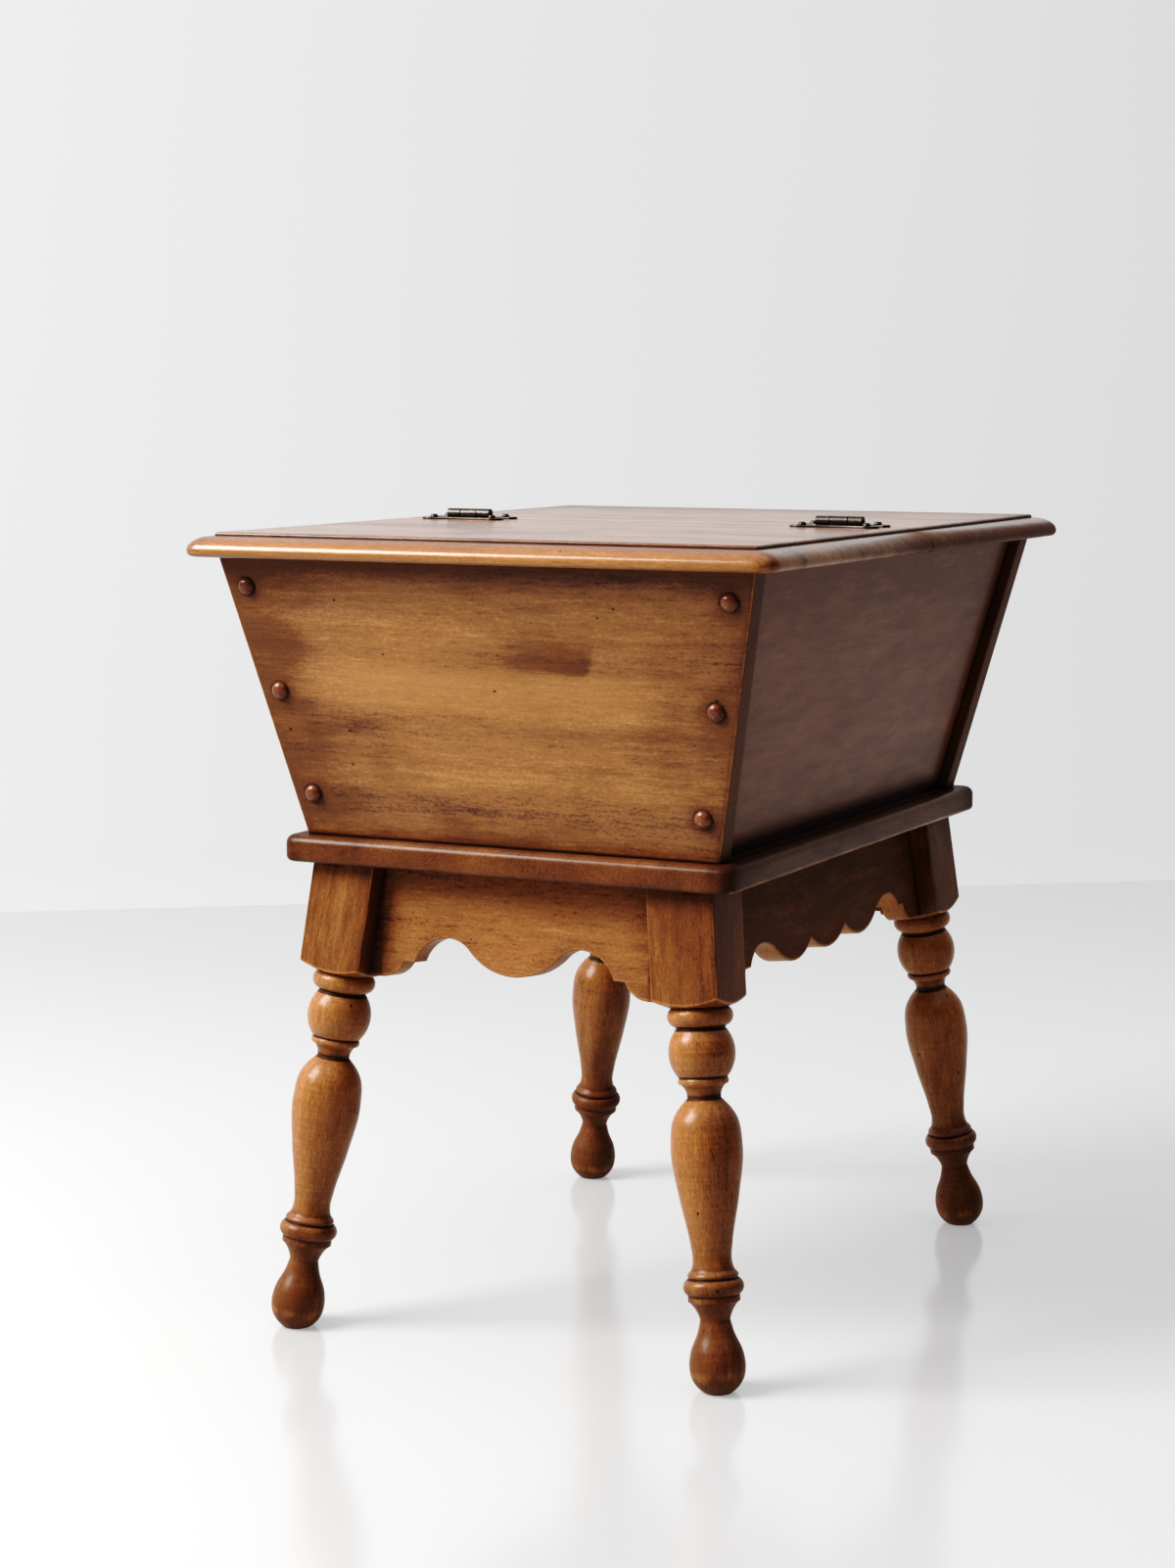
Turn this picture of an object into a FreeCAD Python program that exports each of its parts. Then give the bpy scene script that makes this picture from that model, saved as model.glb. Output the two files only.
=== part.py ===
import FreeCAD, Part
import math
import os

from FreeCAD import Placement, Rotation, Vector

# A dough box end table. A storage box with leaning walls stands on a low stand with
# splayed turned legs. Its top is two half leaves, and the front one is a lid.
# Sizes are in millimetres. X runs across, Y from the front to the rear, Z up.
# The origin is on the floor, under the middle of the table.

# The top, which is shared by the lid and the fixed leaf
top_width = 438.0
top_length = 568.0
top_height = 560.0
top_thickness = 16.5
top_corner_radius = 14.0
field_inset = 18.0
field_step = 2.4
top_under_radius = 4.2
leaf_gap = 1.2
lid_seat_clearance = 0.2

# The storage box under the top
top_overhang = 19.5
box_height = 193.5
wall_lean_deg = 12.5
end_board_thickness = 17.5
side_board_thickness = 16.0
side_board_recess = 7.0
board_arris = 1.2

# The pegs that pin the end boards to the side boards
peg_head_diameter = 12.6
peg_head_proud = 4.4
peg_shank_diameter = 8.0
peg_grip = 22.0
peg_clearance = 0.05
peg_from_box_top = 20.0
peg_from_box_bottom = 29.5
peg_count = 3

# The moulded base board, which is the floor of the box
base_thickness = 18.5
base_ledge = 13.8
base_corner_radius = 10.0
base_upper_radius = 6.0
base_lower_radius = 4.0

# The legs
leg_splay_deg = 6.3
leg_stock = 48.0
leg_set_in_x = 18.9
leg_set_in_y = 12.9
leg_block_length = 81.5
leg_shoulder_rise = 7.0
leg_shoulder_bulge = 0.8
leg_arris = 1.0

# The turned part of a leg, from the shoulder down, as shares of its length and of half the stock
neck_radius_share = 0.80
ring_shares = ((0.0, 0.80), (0.024, 0.917), (0.0484, 0.72))
ball_shares = ((0.0531, 0.675), (0.1165, 0.927), (0.1827, 0.667))
collar_shares = ((0.1827, 0.667), (0.191, 0.705), (0.199, 0.675))
upper_cove_shares = ((0.199, 0.640), (0.215, 0.505), (0.2362, 0.470))
vase_shares = (
    (0.2362, 0.470), (0.2591, 0.700), (0.2846, 0.870), (0.3610, 0.995), (0.4886, 0.835),
    (0.6157, 0.579), (0.6540, 0.539), (0.6791, 0.592), (0.6969, 0.707),
)
vase_fillet_shares = (0.7015, 0.685)
lower_ring_shares = ((0.7035, 0.690), (0.7256, 0.842), (0.7457, 0.722))
lower_fillet_shares = (0.7630, 0.722)
lower_cove_shares = ((0.7630, 0.700), (0.7835, 0.530), (0.8114, 0.417))
pear_shares = (
    (0.8114, 0.417), (0.8441, 0.505), (0.8953, 0.727), (0.9311, 0.779), (0.9630, 0.725),
    (0.9850, 0.580), (1.0040, 0.340),
)

# The aprons
apron_thickness = 18.0
apron_setback = 15.0
apron_depth = 80.0
tenon_thickness = 8.0
tenon_width = 50.0
tenon_length = 16.0
tenon_from_top = 10.0
tenon_overlap = 10.0
joint_clearance = 0.1
mortise_spare = 1.0

# Apron outlines: places along half the apron and depths, as shares of its half length and depth
front_apron_shares = {
    "cusp": None,
    "drop": (0.0, 0.904),
    "arch": (0.490, 0.623),
    "arch_end": (0.739, 0.855),
    "step": 0.821,
    "bracket": 0.987,
    "drop_radius": 0.67,
}
side_apron_shares = {
    "cusp": (0.182, 0.789),
    "drop": (0.350, 0.9225),
    "arch": (0.676, 0.6725),
    "arch_end": (0.797, 0.8275),
    "step": 0.851,
    "bracket": 0.948,
    "drop_radius": 0.55,
}

# Strips that join the stand to the base board and the fixed leaf to the box
cleat_size = 18.0
front_cleat_from_leg = 28.5
side_cleat_from_leg = 44.5
top_cleat_from_seam = 14.0
top_cleat_from_end_board = 28.0

# Countersunk wood screws in the strips and in the base board
screw_head_diameter = 8.0
screw_head_height = 3.2
screw_shank_diameter = 4.0
screw_clearance = 0.1
stand_screw_length = 24.0
stand_screw_grip = 12.0
box_screw_length = 40.0
box_screw_from_corner_x = 68.0
box_screw_from_corner_y = 100.0
screw_place_share = 0.36

# The butterfly hinges, which lie on the top over the seam
hinge_from_edge = 70.0
knuckle_diameter = 7.2
knuckle_lift = 0.4
barrel_length = 35.8
barrel_shares = (0.31, 0.38, 0.31)
knuckle_gap = 0.3
hinge_plate_thickness = 1.4
hinge_plate_clearance = 0.5
hinge_wing_reach = 19.0
hinge_wing_dip = 2.6
hinge_lobe_radius = 8.0
hinge_half_span = 33.3
hinge_waist_bow = 1.0
hinge_lobe_turn_deg = 50.0
pin_diameter = 3.2
pin_running_clearance = 0.05
pin_proud = 0.6
pin_end_round = 0.5

# The pan head screws in the hinges
hinge_screw_offset = 24.4
hinge_screw_from_pin = 11.0
pan_head_diameter = 5.8
pan_head_height = 2.2
pan_slot_width = 0.9
pan_slot_depth = 0.9
pan_shank_diameter = 3.0
pan_screw_grip = 11.0

# How far cutting shapes run past what they cut
overrun = 12.0

# Places and sizes worked out from the values above
half_width = top_width / 2
half_length = top_length / 2
box_top = top_height - top_thickness
box_bottom = box_top - box_height
stand_height = box_bottom - base_thickness
wall_slope = math.tan(math.radians(wall_lean_deg))
wall_cos = math.cos(math.radians(wall_lean_deg))
wall_sin = math.sin(math.radians(wall_lean_deg))
end_run = end_board_thickness / wall_cos
side_run = side_board_thickness / wall_cos
splay_cos = math.cos(math.radians(leg_splay_deg))
splay_slope = math.tan(math.radians(leg_splay_deg))
half_stock = leg_stock / 2
pin_height = knuckle_lift + knuckle_diameter / 2


def box_half_x(z):
    # Half the width of the box over its end boards at a height
    return half_width - top_overhang - (box_top - z) * wall_slope


def box_half_y(z):
    # Half the length of the box over its end boards at a height
    return half_length - top_overhang - (box_top - z) * wall_slope


base_half_x = box_half_x(box_bottom) + base_ledge
base_half_y = box_half_y(box_bottom) + base_ledge
leg_x = base_half_x - leg_set_in_x - half_stock
leg_y = base_half_y - leg_set_in_y - half_stock
leg_axis_length = stand_height / (splay_cos * splay_cos)
turning_length = leg_axis_length - leg_block_length
front_apron_half = leg_x - half_stock
side_apron_half = leg_y - half_stock
front_cleat_length = 2 * (front_apron_half - front_cleat_from_leg)
side_cleat_length = 2 * (side_apron_half - side_cleat_from_leg)
top_cleat_end = box_half_y(box_top - cleat_size) - end_run - top_cleat_from_end_board
top_cleat_length = top_cleat_end - top_cleat_from_seam
hinge_x = half_width - hinge_from_edge

left_right = Vector(1, 0, 0)
front_rear = Vector(0, 1, 0)
upright = Vector(0, 0, 1)
centre = Vector(0, 0, 0)


def box_between(low, high):
    size = high - low
    return Part.makeBox(size.x, size.y, size.z, low)


def region(low_z, high_z):
    # Everything between two heights, wider than the table
    low = Vector(-top_width, -top_length, low_z)
    high = Vector(top_width, top_length, high_z)
    return box_between(low, high)


def solid_between(low_rectangle, low_z, high_rectangle, high_z):
    # A solid with flat faces between two level rectangles, each (x0, x1, y0, y1)
    rings = []
    for (x0, x1, y0, y1), z in ((low_rectangle, low_z), (high_rectangle, high_z)):
        rings.append([Vector(x0, y0, z), Vector(x1, y0, z), Vector(x1, y1, z), Vector(x0, y1, z)])
    low, high = rings
    loops = [low[::-1], high]
    for i in range(4):
        j = (i + 1) % 4
        loops.append([low[i], low[j], high[j], high[i]])
    faces = [Part.Face(Part.makePolygon(loop + loop[:1])) for loop in loops]
    return Part.Solid(Part.Shell(faces))


def level_prism(points, low_z, high_z):
    # A prism with upright sides over a plan outline
    ring = [Vector(x, y, low_z) for x, y in points]
    face = Part.Face(Part.makePolygon(ring + ring[:1]))
    return face.extrude(Vector(0, 0, high_z - low_z))


def line(start, end):
    return Part.LineSegment(start, end).toShape()


def arc(start, middle, end):
    return Part.Arc(start, middle, end).toShape()


def arc_about(middle, start, end):
    # The shorter arc about a centre, from one point to another
    radius = (start - middle).Length
    towards = (start - middle) + (end - middle)
    towards.normalize()
    return arc(start, middle + towards * radius, end)


def curve(points):
    spline = Part.BSplineCurve()
    spline.interpolate(points)
    return spline.toShape()


def quarter_round(start, corner, end):
    # A quarter of an ellipse that touches both sides of a corner
    round_weight = math.sqrt(0.5)
    spline = Part.BSplineCurve()
    spline.buildFromPolesMultsKnots([start, corner, end], [3, 3], [0, 1], False, 2, [1, round_weight, 1])
    return spline.toShape()


def face_from(edges):
    return Part.Face(Part.Wire(edges))


def turned(edges, angle=360):
    # A solid of revolution about the upright axis
    return face_from(edges).revolve(centre, upright, angle)


def moved(shape, placement):
    # A copy of a shape, placed in the frame of the table
    copy = shape.copy()
    copy.Placement = placement.multiply(copy.Placement)
    return copy


def shifted(shape, x, y, z):
    return moved(shape, Placement(Vector(x, y, z), Rotation()))


def mirrored(shape, normal):
    return shape.mirror(centre, normal)


def rising_edges(solid):
    # The edges that run up and down more than they run across
    return [edge for edge in solid.Edges if abs(edge.tangentAt(edge.FirstParameter).z) > 0.5]


def one_solid(shape):
    return shape.removeSplitter().Solids[0]


def save(name, shape):
    shape.exportStep("parts/" + name + ".step")


# The top
def top_section(half, reach):
    # Section across the top with its thumbnail edge on both sides, in the plane of X and Z
    ledge = top_thickness - field_step
    widest = top_under_radius
    right = [
        quarter_round(Vector(half - top_under_radius, 0, 0), Vector(half, 0, 0), Vector(half, 0, widest)),
        quarter_round(Vector(half, 0, widest), Vector(half, 0, ledge), Vector(half - field_inset, 0, ledge)),
        line(Vector(half - field_inset, 0, ledge), Vector(half - field_inset, 0, top_thickness)),
    ]
    left = [mirrored(edge, left_right) for edge in right]
    under = line(Vector(top_under_radius - half, 0, 0), Vector(half - top_under_radius, 0, 0))
    field = line(Vector(half - field_inset, 0, top_thickness), Vector(field_inset - half, 0, top_thickness))
    section = Part.Face(Part.Wire(Part.sortEdges([under] + right + [field] + left)[0]))
    section.translate(Vector(0, -reach, 0))
    return section


def top_corner():
    # The edge of the top carried round one corner, for the corner at +X and +Y
    section = top_section(half_width, 0)
    low = Vector(half_width - top_corner_radius, -overrun, -overrun)
    high = Vector(half_width + overrun, overrun, top_thickness + overrun)
    section = section.common(box_between(low, high)).Faces[0]
    axis_point = Vector(half_width - top_corner_radius, 0, 0)
    corner = section.revolve(axis_point, upright, 90)
    corner.translate(Vector(0, half_length - top_corner_radius, 0))
    return corner


def full_top():
    # Side and end edges meet on mitres at the field corners, and each outer corner is rounded
    along_y = top_section(half_width, half_length).extrude(Vector(0, top_length, 0))
    turn = Placement(centre, Rotation(upright, 90))
    along_x = moved(top_section(half_length, half_width).extrude(Vector(0, top_width, 0)), turn)
    field_x = half_width - field_inset
    field_y = half_length - field_inset
    out_x = half_width + overrun
    out_y = half_length + overrun
    mitred = [(-field_x, field_y), (field_x, field_y), (out_x, out_y), (-out_x, out_y)]
    end_strip = level_prism(mitred, -overrun, top_thickness + overrun)
    rear_end = along_x.common(end_strip)
    top = along_y.cut([end_strip, mirrored(end_strip, front_rear)])
    top = top.fuse([rear_end, mirrored(rear_end, front_rear)])
    low = Vector(half_width - top_corner_radius, half_length - top_corner_radius, -overrun)
    square = box_between(low, Vector(out_x, out_y, top_thickness + overrun))
    corner = top_corner()
    squares = [square, mirrored(square, left_right)]
    squares += [mirrored(shape, front_rear) for shape in squares]
    corners = [corner, mirrored(corner, left_right)]
    corners += [mirrored(shape, front_rear) for shape in corners]
    top = one_solid(top.cut(squares).fuse(corners))
    return shifted(top, 0, 0, box_top)


# Wood screws, drawn at the origin with the head down and the shank up
def wood_screw(length, grown=0.0):
    head = screw_head_diameter / 2 + grown
    shank = screw_shank_diameter / 2 + grown
    tip = length + grown
    taper = length - screw_shank_diameter
    return turned([
        line(centre, Vector(head, 0, 0)),
        line(Vector(head, 0, 0), Vector(shank, 0, screw_head_height)),
        line(Vector(shank, 0, screw_head_height), Vector(shank, 0, taper)),
        line(Vector(shank, 0, taper), Vector(0, 0, tip)),
        line(Vector(0, 0, tip), centre),
    ])


def screw_hole(length):
    # Room for a wood screw, with a way in for its head
    way_in = Part.makeCylinder(screw_head_diameter / 2 + screw_clearance, overrun, Vector(0, 0, -overrun))
    return wood_screw(length, screw_clearance).fuse(way_in)


def placed(shape, places):
    return [shifted(shape, x, y, z) for x, y, z in places]


# The stand
def splayed(shape, x, y):
    # Lean a shape drawn along the upright axis as the leg at +X and -Y leans
    lean = Rotation(left_right, -leg_splay_deg).multiply(Rotation(front_rear, -leg_splay_deg))
    return moved(shape, Placement(Vector(x, y, stand_height), lean))


def leg_point(share):
    station, radius = share
    return Vector(radius * half_stock, 0, -leg_block_length - station * turning_length)


def leg_turning():
    neck = neck_radius_share * half_stock
    fillet_end = leg_point((vase_fillet_shares[0], vase_shares[-1][1]))
    notch = leg_point(vase_fillet_shares)
    edges = [
        line(Vector(0, 0, -leg_block_length), Vector(neck, 0, -leg_block_length)),
        arc(*[leg_point(share) for share in ring_shares]),
        line(leg_point(ring_shares[-1]), leg_point(ball_shares[0])),
        arc(*[leg_point(share) for share in ball_shares]),
        arc(*[leg_point(share) for share in collar_shares]),
        line(leg_point(collar_shares[-1]), leg_point(upper_cove_shares[0])),
        arc(*[leg_point(share) for share in upper_cove_shares]),
        curve([leg_point(share) for share in vase_shares]),
        line(leg_point(vase_shares[-1]), fillet_end),
        line(fillet_end, notch),
        line(notch, leg_point(lower_ring_shares[0])),
        arc(*[leg_point(share) for share in lower_ring_shares]),
        line(leg_point(lower_ring_shares[-1]), leg_point(lower_fillet_shares)),
        line(leg_point(lower_fillet_shares), leg_point(lower_cove_shares[0])),
        arc(*[leg_point(share) for share in lower_cove_shares]),
        curve([leg_point(share) for share in pear_shares]),
    ]
    foot = leg_point(pear_shares[-1])
    edges.append(line(foot, Vector(0, 0, foot.z)))
    edges.append(line(Vector(0, 0, foot.z), Vector(0, 0, -leg_block_length)))
    return turned(edges)


def leg_prism(length):
    low = Vector(-half_stock, -half_stock, -length)
    high = Vector(half_stock, half_stock, overrun)
    return box_between(low, high)


def leg_block():
    # The square block, with its lower end turned to a shoulder
    prism = leg_prism(leg_block_length)
    prism = prism.makeFillet(leg_arris, rising_edges(prism))
    neck = neck_radius_share * half_stock
    corner = half_stock * math.sqrt(2)
    slope = leg_shoulder_rise / (corner - neck)
    low = Vector(neck, 0, -leg_block_length)
    high = Vector(leg_stock, 0, -leg_block_length + (leg_stock - neck) * slope)
    middle = (low + high) * 0.5 - Vector(0, 0, leg_shoulder_bulge)
    shoulder = turned([
        line(Vector(0, 0, -leg_block_length), low),
        arc(low, middle, high),
        line(high, Vector(leg_stock, 0, overrun * 2)),
        line(Vector(leg_stock, 0, overrun * 2), Vector(0, 0, overrun * 2)),
        line(Vector(0, 0, overrun * 2), Vector(0, 0, -leg_block_length)),
    ])
    return prism.common(shoulder)


def tenon(grown=0.0, spare=0.0):
    # The tenon of the front apron, in the frame of the leg at +X and -Y
    low = Vector(-half_stock - tenon_overlap, -tenon_thickness / 2 - grown, -tenon_from_top - tenon_width - grown)
    high = Vector(-half_stock + tenon_length + spare, tenon_thickness / 2 + grown, -tenon_from_top + grown)
    return box_between(low, high)


def side_tenon(grown=0.0, spare=0.0):
    # The tenon of the side apron, which enters the same leg from the rear
    quarter_turn = Placement(centre, Rotation(upright, -90))
    return moved(tenon(grown, spare), quarter_turn)


def front_right_leg():
    leg = leg_block().fuse(leg_turning())
    leg = leg.cut([tenon(joint_clearance, mortise_spare), side_tenon(joint_clearance, mortise_spare)])
    leg = splayed(leg, leg_x, -leg_y)
    return one_solid(leg.common(region(0, stand_height)))


def rise_radius(run, rise):
    # Radius of an arc that starts level and climbs by a rise over a run
    return (run * run + rise * rise) / (2 * rise)


def half_outline(shares, half):
    # Lower edge of one half of an apron, from its middle out, in the plane of X and Z
    def point(x_share, depth_share):
        return Vector(x_share * half, 0, -depth_share * apron_depth)

    drop = point(*shares["drop"])
    arch = point(*shares["arch"])
    arch_end = point(*shares["arch_end"])
    step = point(shares["step"], shares["arch_end"][1])
    bracket = point(shares["bracket"], 1.0)
    end = Vector(half + half_stock, 0, -apron_depth)
    both_radii = rise_radius(arch.x - drop.x, arch.z - drop.z)
    drop_middle = drop + upright * (both_radii * shares["drop_radius"])
    arch_middle = arch - upright * (both_radii * (1 - shares["drop_radius"]))
    meet = drop_middle + (arch_middle - drop_middle) * shares["drop_radius"]
    edges = []
    if shares["cusp"]:
        cusp = point(*shares["cusp"])
        lobe = Vector(0, 0, drop.z)
        lobe_middle = lobe + upright * rise_radius(cusp.x, cusp.z - lobe.z)
        edges.append(arc_about(lobe_middle, lobe, cusp))
        outer_middle = drop + upright * rise_radius(drop.x - cusp.x, cusp.z - drop.z)
        edges.append(arc_about(outer_middle, cusp, drop))
    edges.append(arc_about(drop_middle, drop, meet))
    edges.append(arc_about(arch_middle, meet, arch))
    side_middle = arch - upright * rise_radius(arch_end.x - arch.x, arch.z - arch_end.z)
    edges.append(arc_about(side_middle, arch, arch_end))
    edges.append(line(arch_end, step))
    bracket_middle = bracket + upright * rise_radius(bracket.x - step.x, step.z - bracket.z)
    edges.append(arc_about(bracket_middle, step, bracket))
    edges.append(line(bracket, end))
    return edges


def apron_board(shares, half):
    # An apron drawn upright, with its faces set about the axis of the legs
    right = half_outline(shares, half)
    left = [mirrored(edge, left_right) for edge in right]
    reach = half + half_stock
    ends = [
        line(Vector(reach, 0, -apron_depth), Vector(reach, 0, overrun)),
        line(Vector(reach, 0, overrun), Vector(-reach, 0, overrun)),
        line(Vector(-reach, 0, overrun), Vector(-reach, 0, -apron_depth)),
    ]
    face = Part.Face(Part.Wire(Part.sortEdges(right + left + ends)[0]))
    outer = half_stock - apron_setback
    face.translate(Vector(0, -outer, 0))
    return face.extrude(Vector(0, apron_thickness, 0))


def cleat_strip(length):
    # A strip against the inner face of an apron, drawn with the apron
    inner = apron_thickness + apron_setback - half_stock
    low = Vector(-length / 2, inner, -cleat_size)
    high = Vector(length / 2, inner + cleat_size, overrun)
    return box_between(low, high)


def front_leaning(shape):
    # Lean what belongs to the front apron
    return moved(shape, Placement(Vector(0, -leg_y, stand_height), Rotation(left_right, -leg_splay_deg)))


def right_leaning(shape):
    # Turn what belongs to an apron to the right side of the stand, and lean it
    turn = Rotation(front_rear, -leg_splay_deg).multiply(Rotation(upright, 90))
    return moved(shape, Placement(Vector(leg_x, 0, stand_height), turn))


def finished_apron(board, tongue, along):
    # Cut an apron to the legs at its two ends and to the base board, and add its tenons
    prism = splayed(leg_prism(apron_depth + overrun), leg_x, -leg_y)
    tongue = splayed(tongue, leg_x, -leg_y)
    apron = board.cut([prism, mirrored(prism, along)])
    apron = apron.fuse([tongue, mirrored(tongue, along)])
    return one_solid(apron.common(region(0, stand_height)))


# The storage box
def end_board():
    # The front end board, with its faces leaning and its edges cut to the slope of the sides
    def rectangle(z):
        return (-box_half_x(z), box_half_x(z), -box_half_y(z), -box_half_y(z) + end_run)

    board = solid_between(rectangle(box_bottom), box_bottom, rectangle(box_top), box_top)
    return board.makeFillet(board_arris, rising_edges(board))


def side_board():
    # The right side board, between the two end boards
    def rectangle(z):
        outer = box_half_x(z) - side_board_recess
        ends = box_half_y(z) - end_run
        return (outer - side_run, outer, -ends, ends)

    return solid_between(rectangle(box_bottom), box_bottom, rectangle(box_top), box_top)


def top_cleat():
    # A strip inside the right side board, under the fixed leaf
    def rectangle(z):
        outer = box_half_x(z) - side_board_recess - side_run
        inner = box_half_x(box_top) - side_board_recess - side_run - cleat_size
        return (inner, outer, top_cleat_from_seam, top_cleat_end)

    return solid_between(rectangle(box_top - cleat_size), box_top - cleat_size, rectangle(box_top), box_top)


def peg():
    # A domed peg, drawn with its head down at the face of the board and its shank up
    head = peg_head_diameter / 2
    shank = peg_shank_diameter / 2
    tip = end_board_thickness + peg_grip
    return turned([
        line(Vector(0, 0, tip), Vector(0, 0, -peg_head_proud)),
        quarter_round(Vector(0, 0, -peg_head_proud), Vector(head, 0, -peg_head_proud), Vector(head, 0, 0)),
        line(Vector(head, 0, 0), Vector(shank, 0, 0)),
        line(Vector(shank, 0, 0), Vector(shank, 0, tip)),
        line(Vector(shank, 0, tip), Vector(0, 0, tip)),
    ])


def peg_hole():
    radius = peg_shank_diameter / 2 + peg_clearance
    length = end_board_thickness + peg_grip + peg_clearance + overrun
    return Part.makeCylinder(radius, length, Vector(0, 0, -overrun))


def at_pegs(shape):
    # Copies of a shape at the pegs of the front end board
    highest = box_top - peg_from_box_top
    lowest = box_bottom + peg_from_box_bottom
    inset = side_board_recess + side_run / 2
    into_board = Rotation(left_right, -(90 - wall_lean_deg))
    copies = []
    for i in range(peg_count):
        z = lowest + (highest - lowest) * i / (peg_count - 1)
        for side in (-1, 1):
            place = Vector(side * (box_half_x(z) - inset), -box_half_y(z), z)
            copies.append(moved(shape, Placement(place, into_board)))
    return copies


def base_board():
    low = Vector(-base_half_x, -base_half_y, stand_height)
    high = Vector(base_half_x, base_half_y, box_bottom)
    board = box_between(low, high)
    board = board.makeFillet(base_corner_radius, rising_edges(board))
    upper = [edge for edge in board.Edges if edge.BoundBox.ZMin > box_bottom - base_thickness / 4]
    board = board.makeFillet(base_upper_radius, upper)
    lower = [edge for edge in board.Edges if edge.BoundBox.ZMax < stand_height + base_thickness / 4]
    return board.makeFillet(base_lower_radius, lower)


# The hinges, drawn with the seam under the pin and the top at height zero
def wing():
    # The plate of a leaf, with its two lobes, on the side of +Y
    start = knuckle_diameter / 2 + hinge_plate_clearance
    lobe_x = hinge_half_span - hinge_lobe_radius
    lobe = Vector(lobe_x, hinge_wing_reach - hinge_lobe_radius, 0)
    turn = math.radians(-hinge_lobe_turn_deg)
    lobe_start = lobe + Vector(math.cos(turn), math.sin(turn), 0) * hinge_lobe_radius
    lobe_tip = lobe + Vector(hinge_lobe_radius, 0, 0)
    lobe_end = lobe + Vector(0, hinge_lobe_radius, 0)
    waist = Vector(barrel_length / 2, start, 0)
    bow = (waist + lobe_start) * 0.5 + Vector(0, hinge_waist_bow, 0)
    right = [arc(waist, bow, lobe_start), arc(lobe_start, lobe_tip, lobe_end)]
    left = [mirrored(edge, left_right) for edge in right]
    outer = arc(lobe_end, Vector(0, hinge_wing_reach - hinge_wing_dip, 0), Vector(-lobe_end.x, lobe_end.y, 0))
    inner = line(Vector(-waist.x, waist.y, 0), waist)
    face = Part.Face(Part.Wire(Part.sortEdges([inner, outer] + right + left)[0]))
    return face.extrude(Vector(0, 0, hinge_plate_thickness))


def knuckle(index, bore):
    # One knuckle of the barrel with the neck that joins it to the plate
    start = -barrel_length / 2 + barrel_length * sum(barrel_shares[:index])
    length = barrel_length * barrel_shares[index] - knuckle_gap
    left = start + knuckle_gap / 2
    pin_line = Vector(left, 0, pin_height)
    tube = Part.makeCylinder(knuckle_diameter / 2, length, pin_line, left_right)
    reach = knuckle_diameter / 2 + hinge_plate_clearance + knuckle_gap
    neck = box_between(Vector(left, 0, 0), Vector(left + length, reach, hinge_plate_thickness))
    hole = Part.makeCylinder(bore / 2, length, pin_line, left_right)
    return tube.fuse(neck).cut(hole)


def hinge_leaf(knuckles, bore):
    leaf = wing()
    for index in knuckles:
        leaf = leaf.fuse(knuckle(index, bore))
    hole = Part.makeCylinder(pan_shank_diameter / 2 + screw_clearance, overrun * 2, Vector(0, 0, -overrun))
    holes = [shifted(hole, side * hinge_screw_offset, hinge_screw_from_pin, 0) for side in (-1, 1)]
    return one_solid(leaf.cut(holes))


def hinge_pin():
    length = barrel_length + 2 * pin_proud
    pin = Part.makeCylinder(pin_diameter / 2, length, Vector(-length / 2, 0, pin_height), left_right)
    rims = [edge for edge in pin.Edges if edge.BoundBox.XLength < pin_proud]
    return pin.makeFillet(pin_end_round, rims)


def pan_screw():
    # A pan head screw, drawn with its head on the plate and its shank down in the wood
    head = pan_head_diameter / 2
    shank = pan_shank_diameter / 2
    seat = hinge_plate_thickness
    crown = seat + pan_head_height
    screw = turned([
        line(Vector(0, 0, crown), Vector(head / 2, 0, crown)),
        quarter_round(Vector(head / 2, 0, crown), Vector(head, 0, crown), Vector(head, 0, seat)),
        line(Vector(head, 0, seat), Vector(shank, 0, seat)),
        line(Vector(shank, 0, seat), Vector(shank, 0, -pan_screw_grip + pan_shank_diameter)),
        line(Vector(shank, 0, -pan_screw_grip + pan_shank_diameter), Vector(0, 0, -pan_screw_grip)),
        line(Vector(0, 0, -pan_screw_grip), Vector(0, 0, crown)),
    ])
    low = Vector(-pan_head_diameter, -pan_slot_width / 2, crown - pan_slot_depth)
    high = Vector(pan_head_diameter, pan_slot_width / 2, crown + overrun)
    return screw.cut(box_between(low, high))


def pan_hole():
    radius = pan_shank_diameter / 2 + screw_clearance
    return Part.makeCylinder(radius, pan_screw_grip + overrun, Vector(0, 0, -pan_screw_grip))


def at_hinge_screws(shape, side_y):
    # Copies of a shape at the four screws on one side of the seam
    copies = []
    for hinge in (-1, 1):
        for side in (-1, 1):
            x = hinge * hinge_x + side * hinge_screw_offset
            copies.append(shifted(shape, x, side_y * hinge_screw_from_pin, top_height))
    return copies


os.makedirs("parts", exist_ok=True)

# Stand pieces
leg = front_right_leg()
front = front_leaning(apron_board(front_apron_shares, front_apron_half))
front = finished_apron(front, tenon(), left_right)
right = right_leaning(apron_board(side_apron_shares, side_apron_half))
right = finished_apron(right, side_tenon(), front_rear)
below_base = region(0, stand_height)
front_strip = front_leaning(cleat_strip(front_cleat_length)).common(below_base)
right_strip = right_leaning(cleat_strip(side_cleat_length)).common(below_base)
strip_middle = apron_thickness + apron_setback - half_stock + cleat_size / 2
stand_screw_z = stand_height - stand_screw_grip
strip_drop = stand_screw_grip * splay_slope
stand_places = []
for side in (-1, 1):
    x = side * front_cleat_length * screw_place_share
    y = leg_y - strip_middle + strip_drop
    stand_places += [(x, -y, stand_screw_z), (x, y, stand_screw_z)]
    x = leg_x - strip_middle + strip_drop
    y = side * side_cleat_length * screw_place_share
    stand_places += [(x, y, stand_screw_z), (-x, y, stand_screw_z)]
stand_screws = placed(wood_screw(stand_screw_length), stand_places)
stand_holes = placed(screw_hole(stand_screw_length), stand_places)

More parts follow.
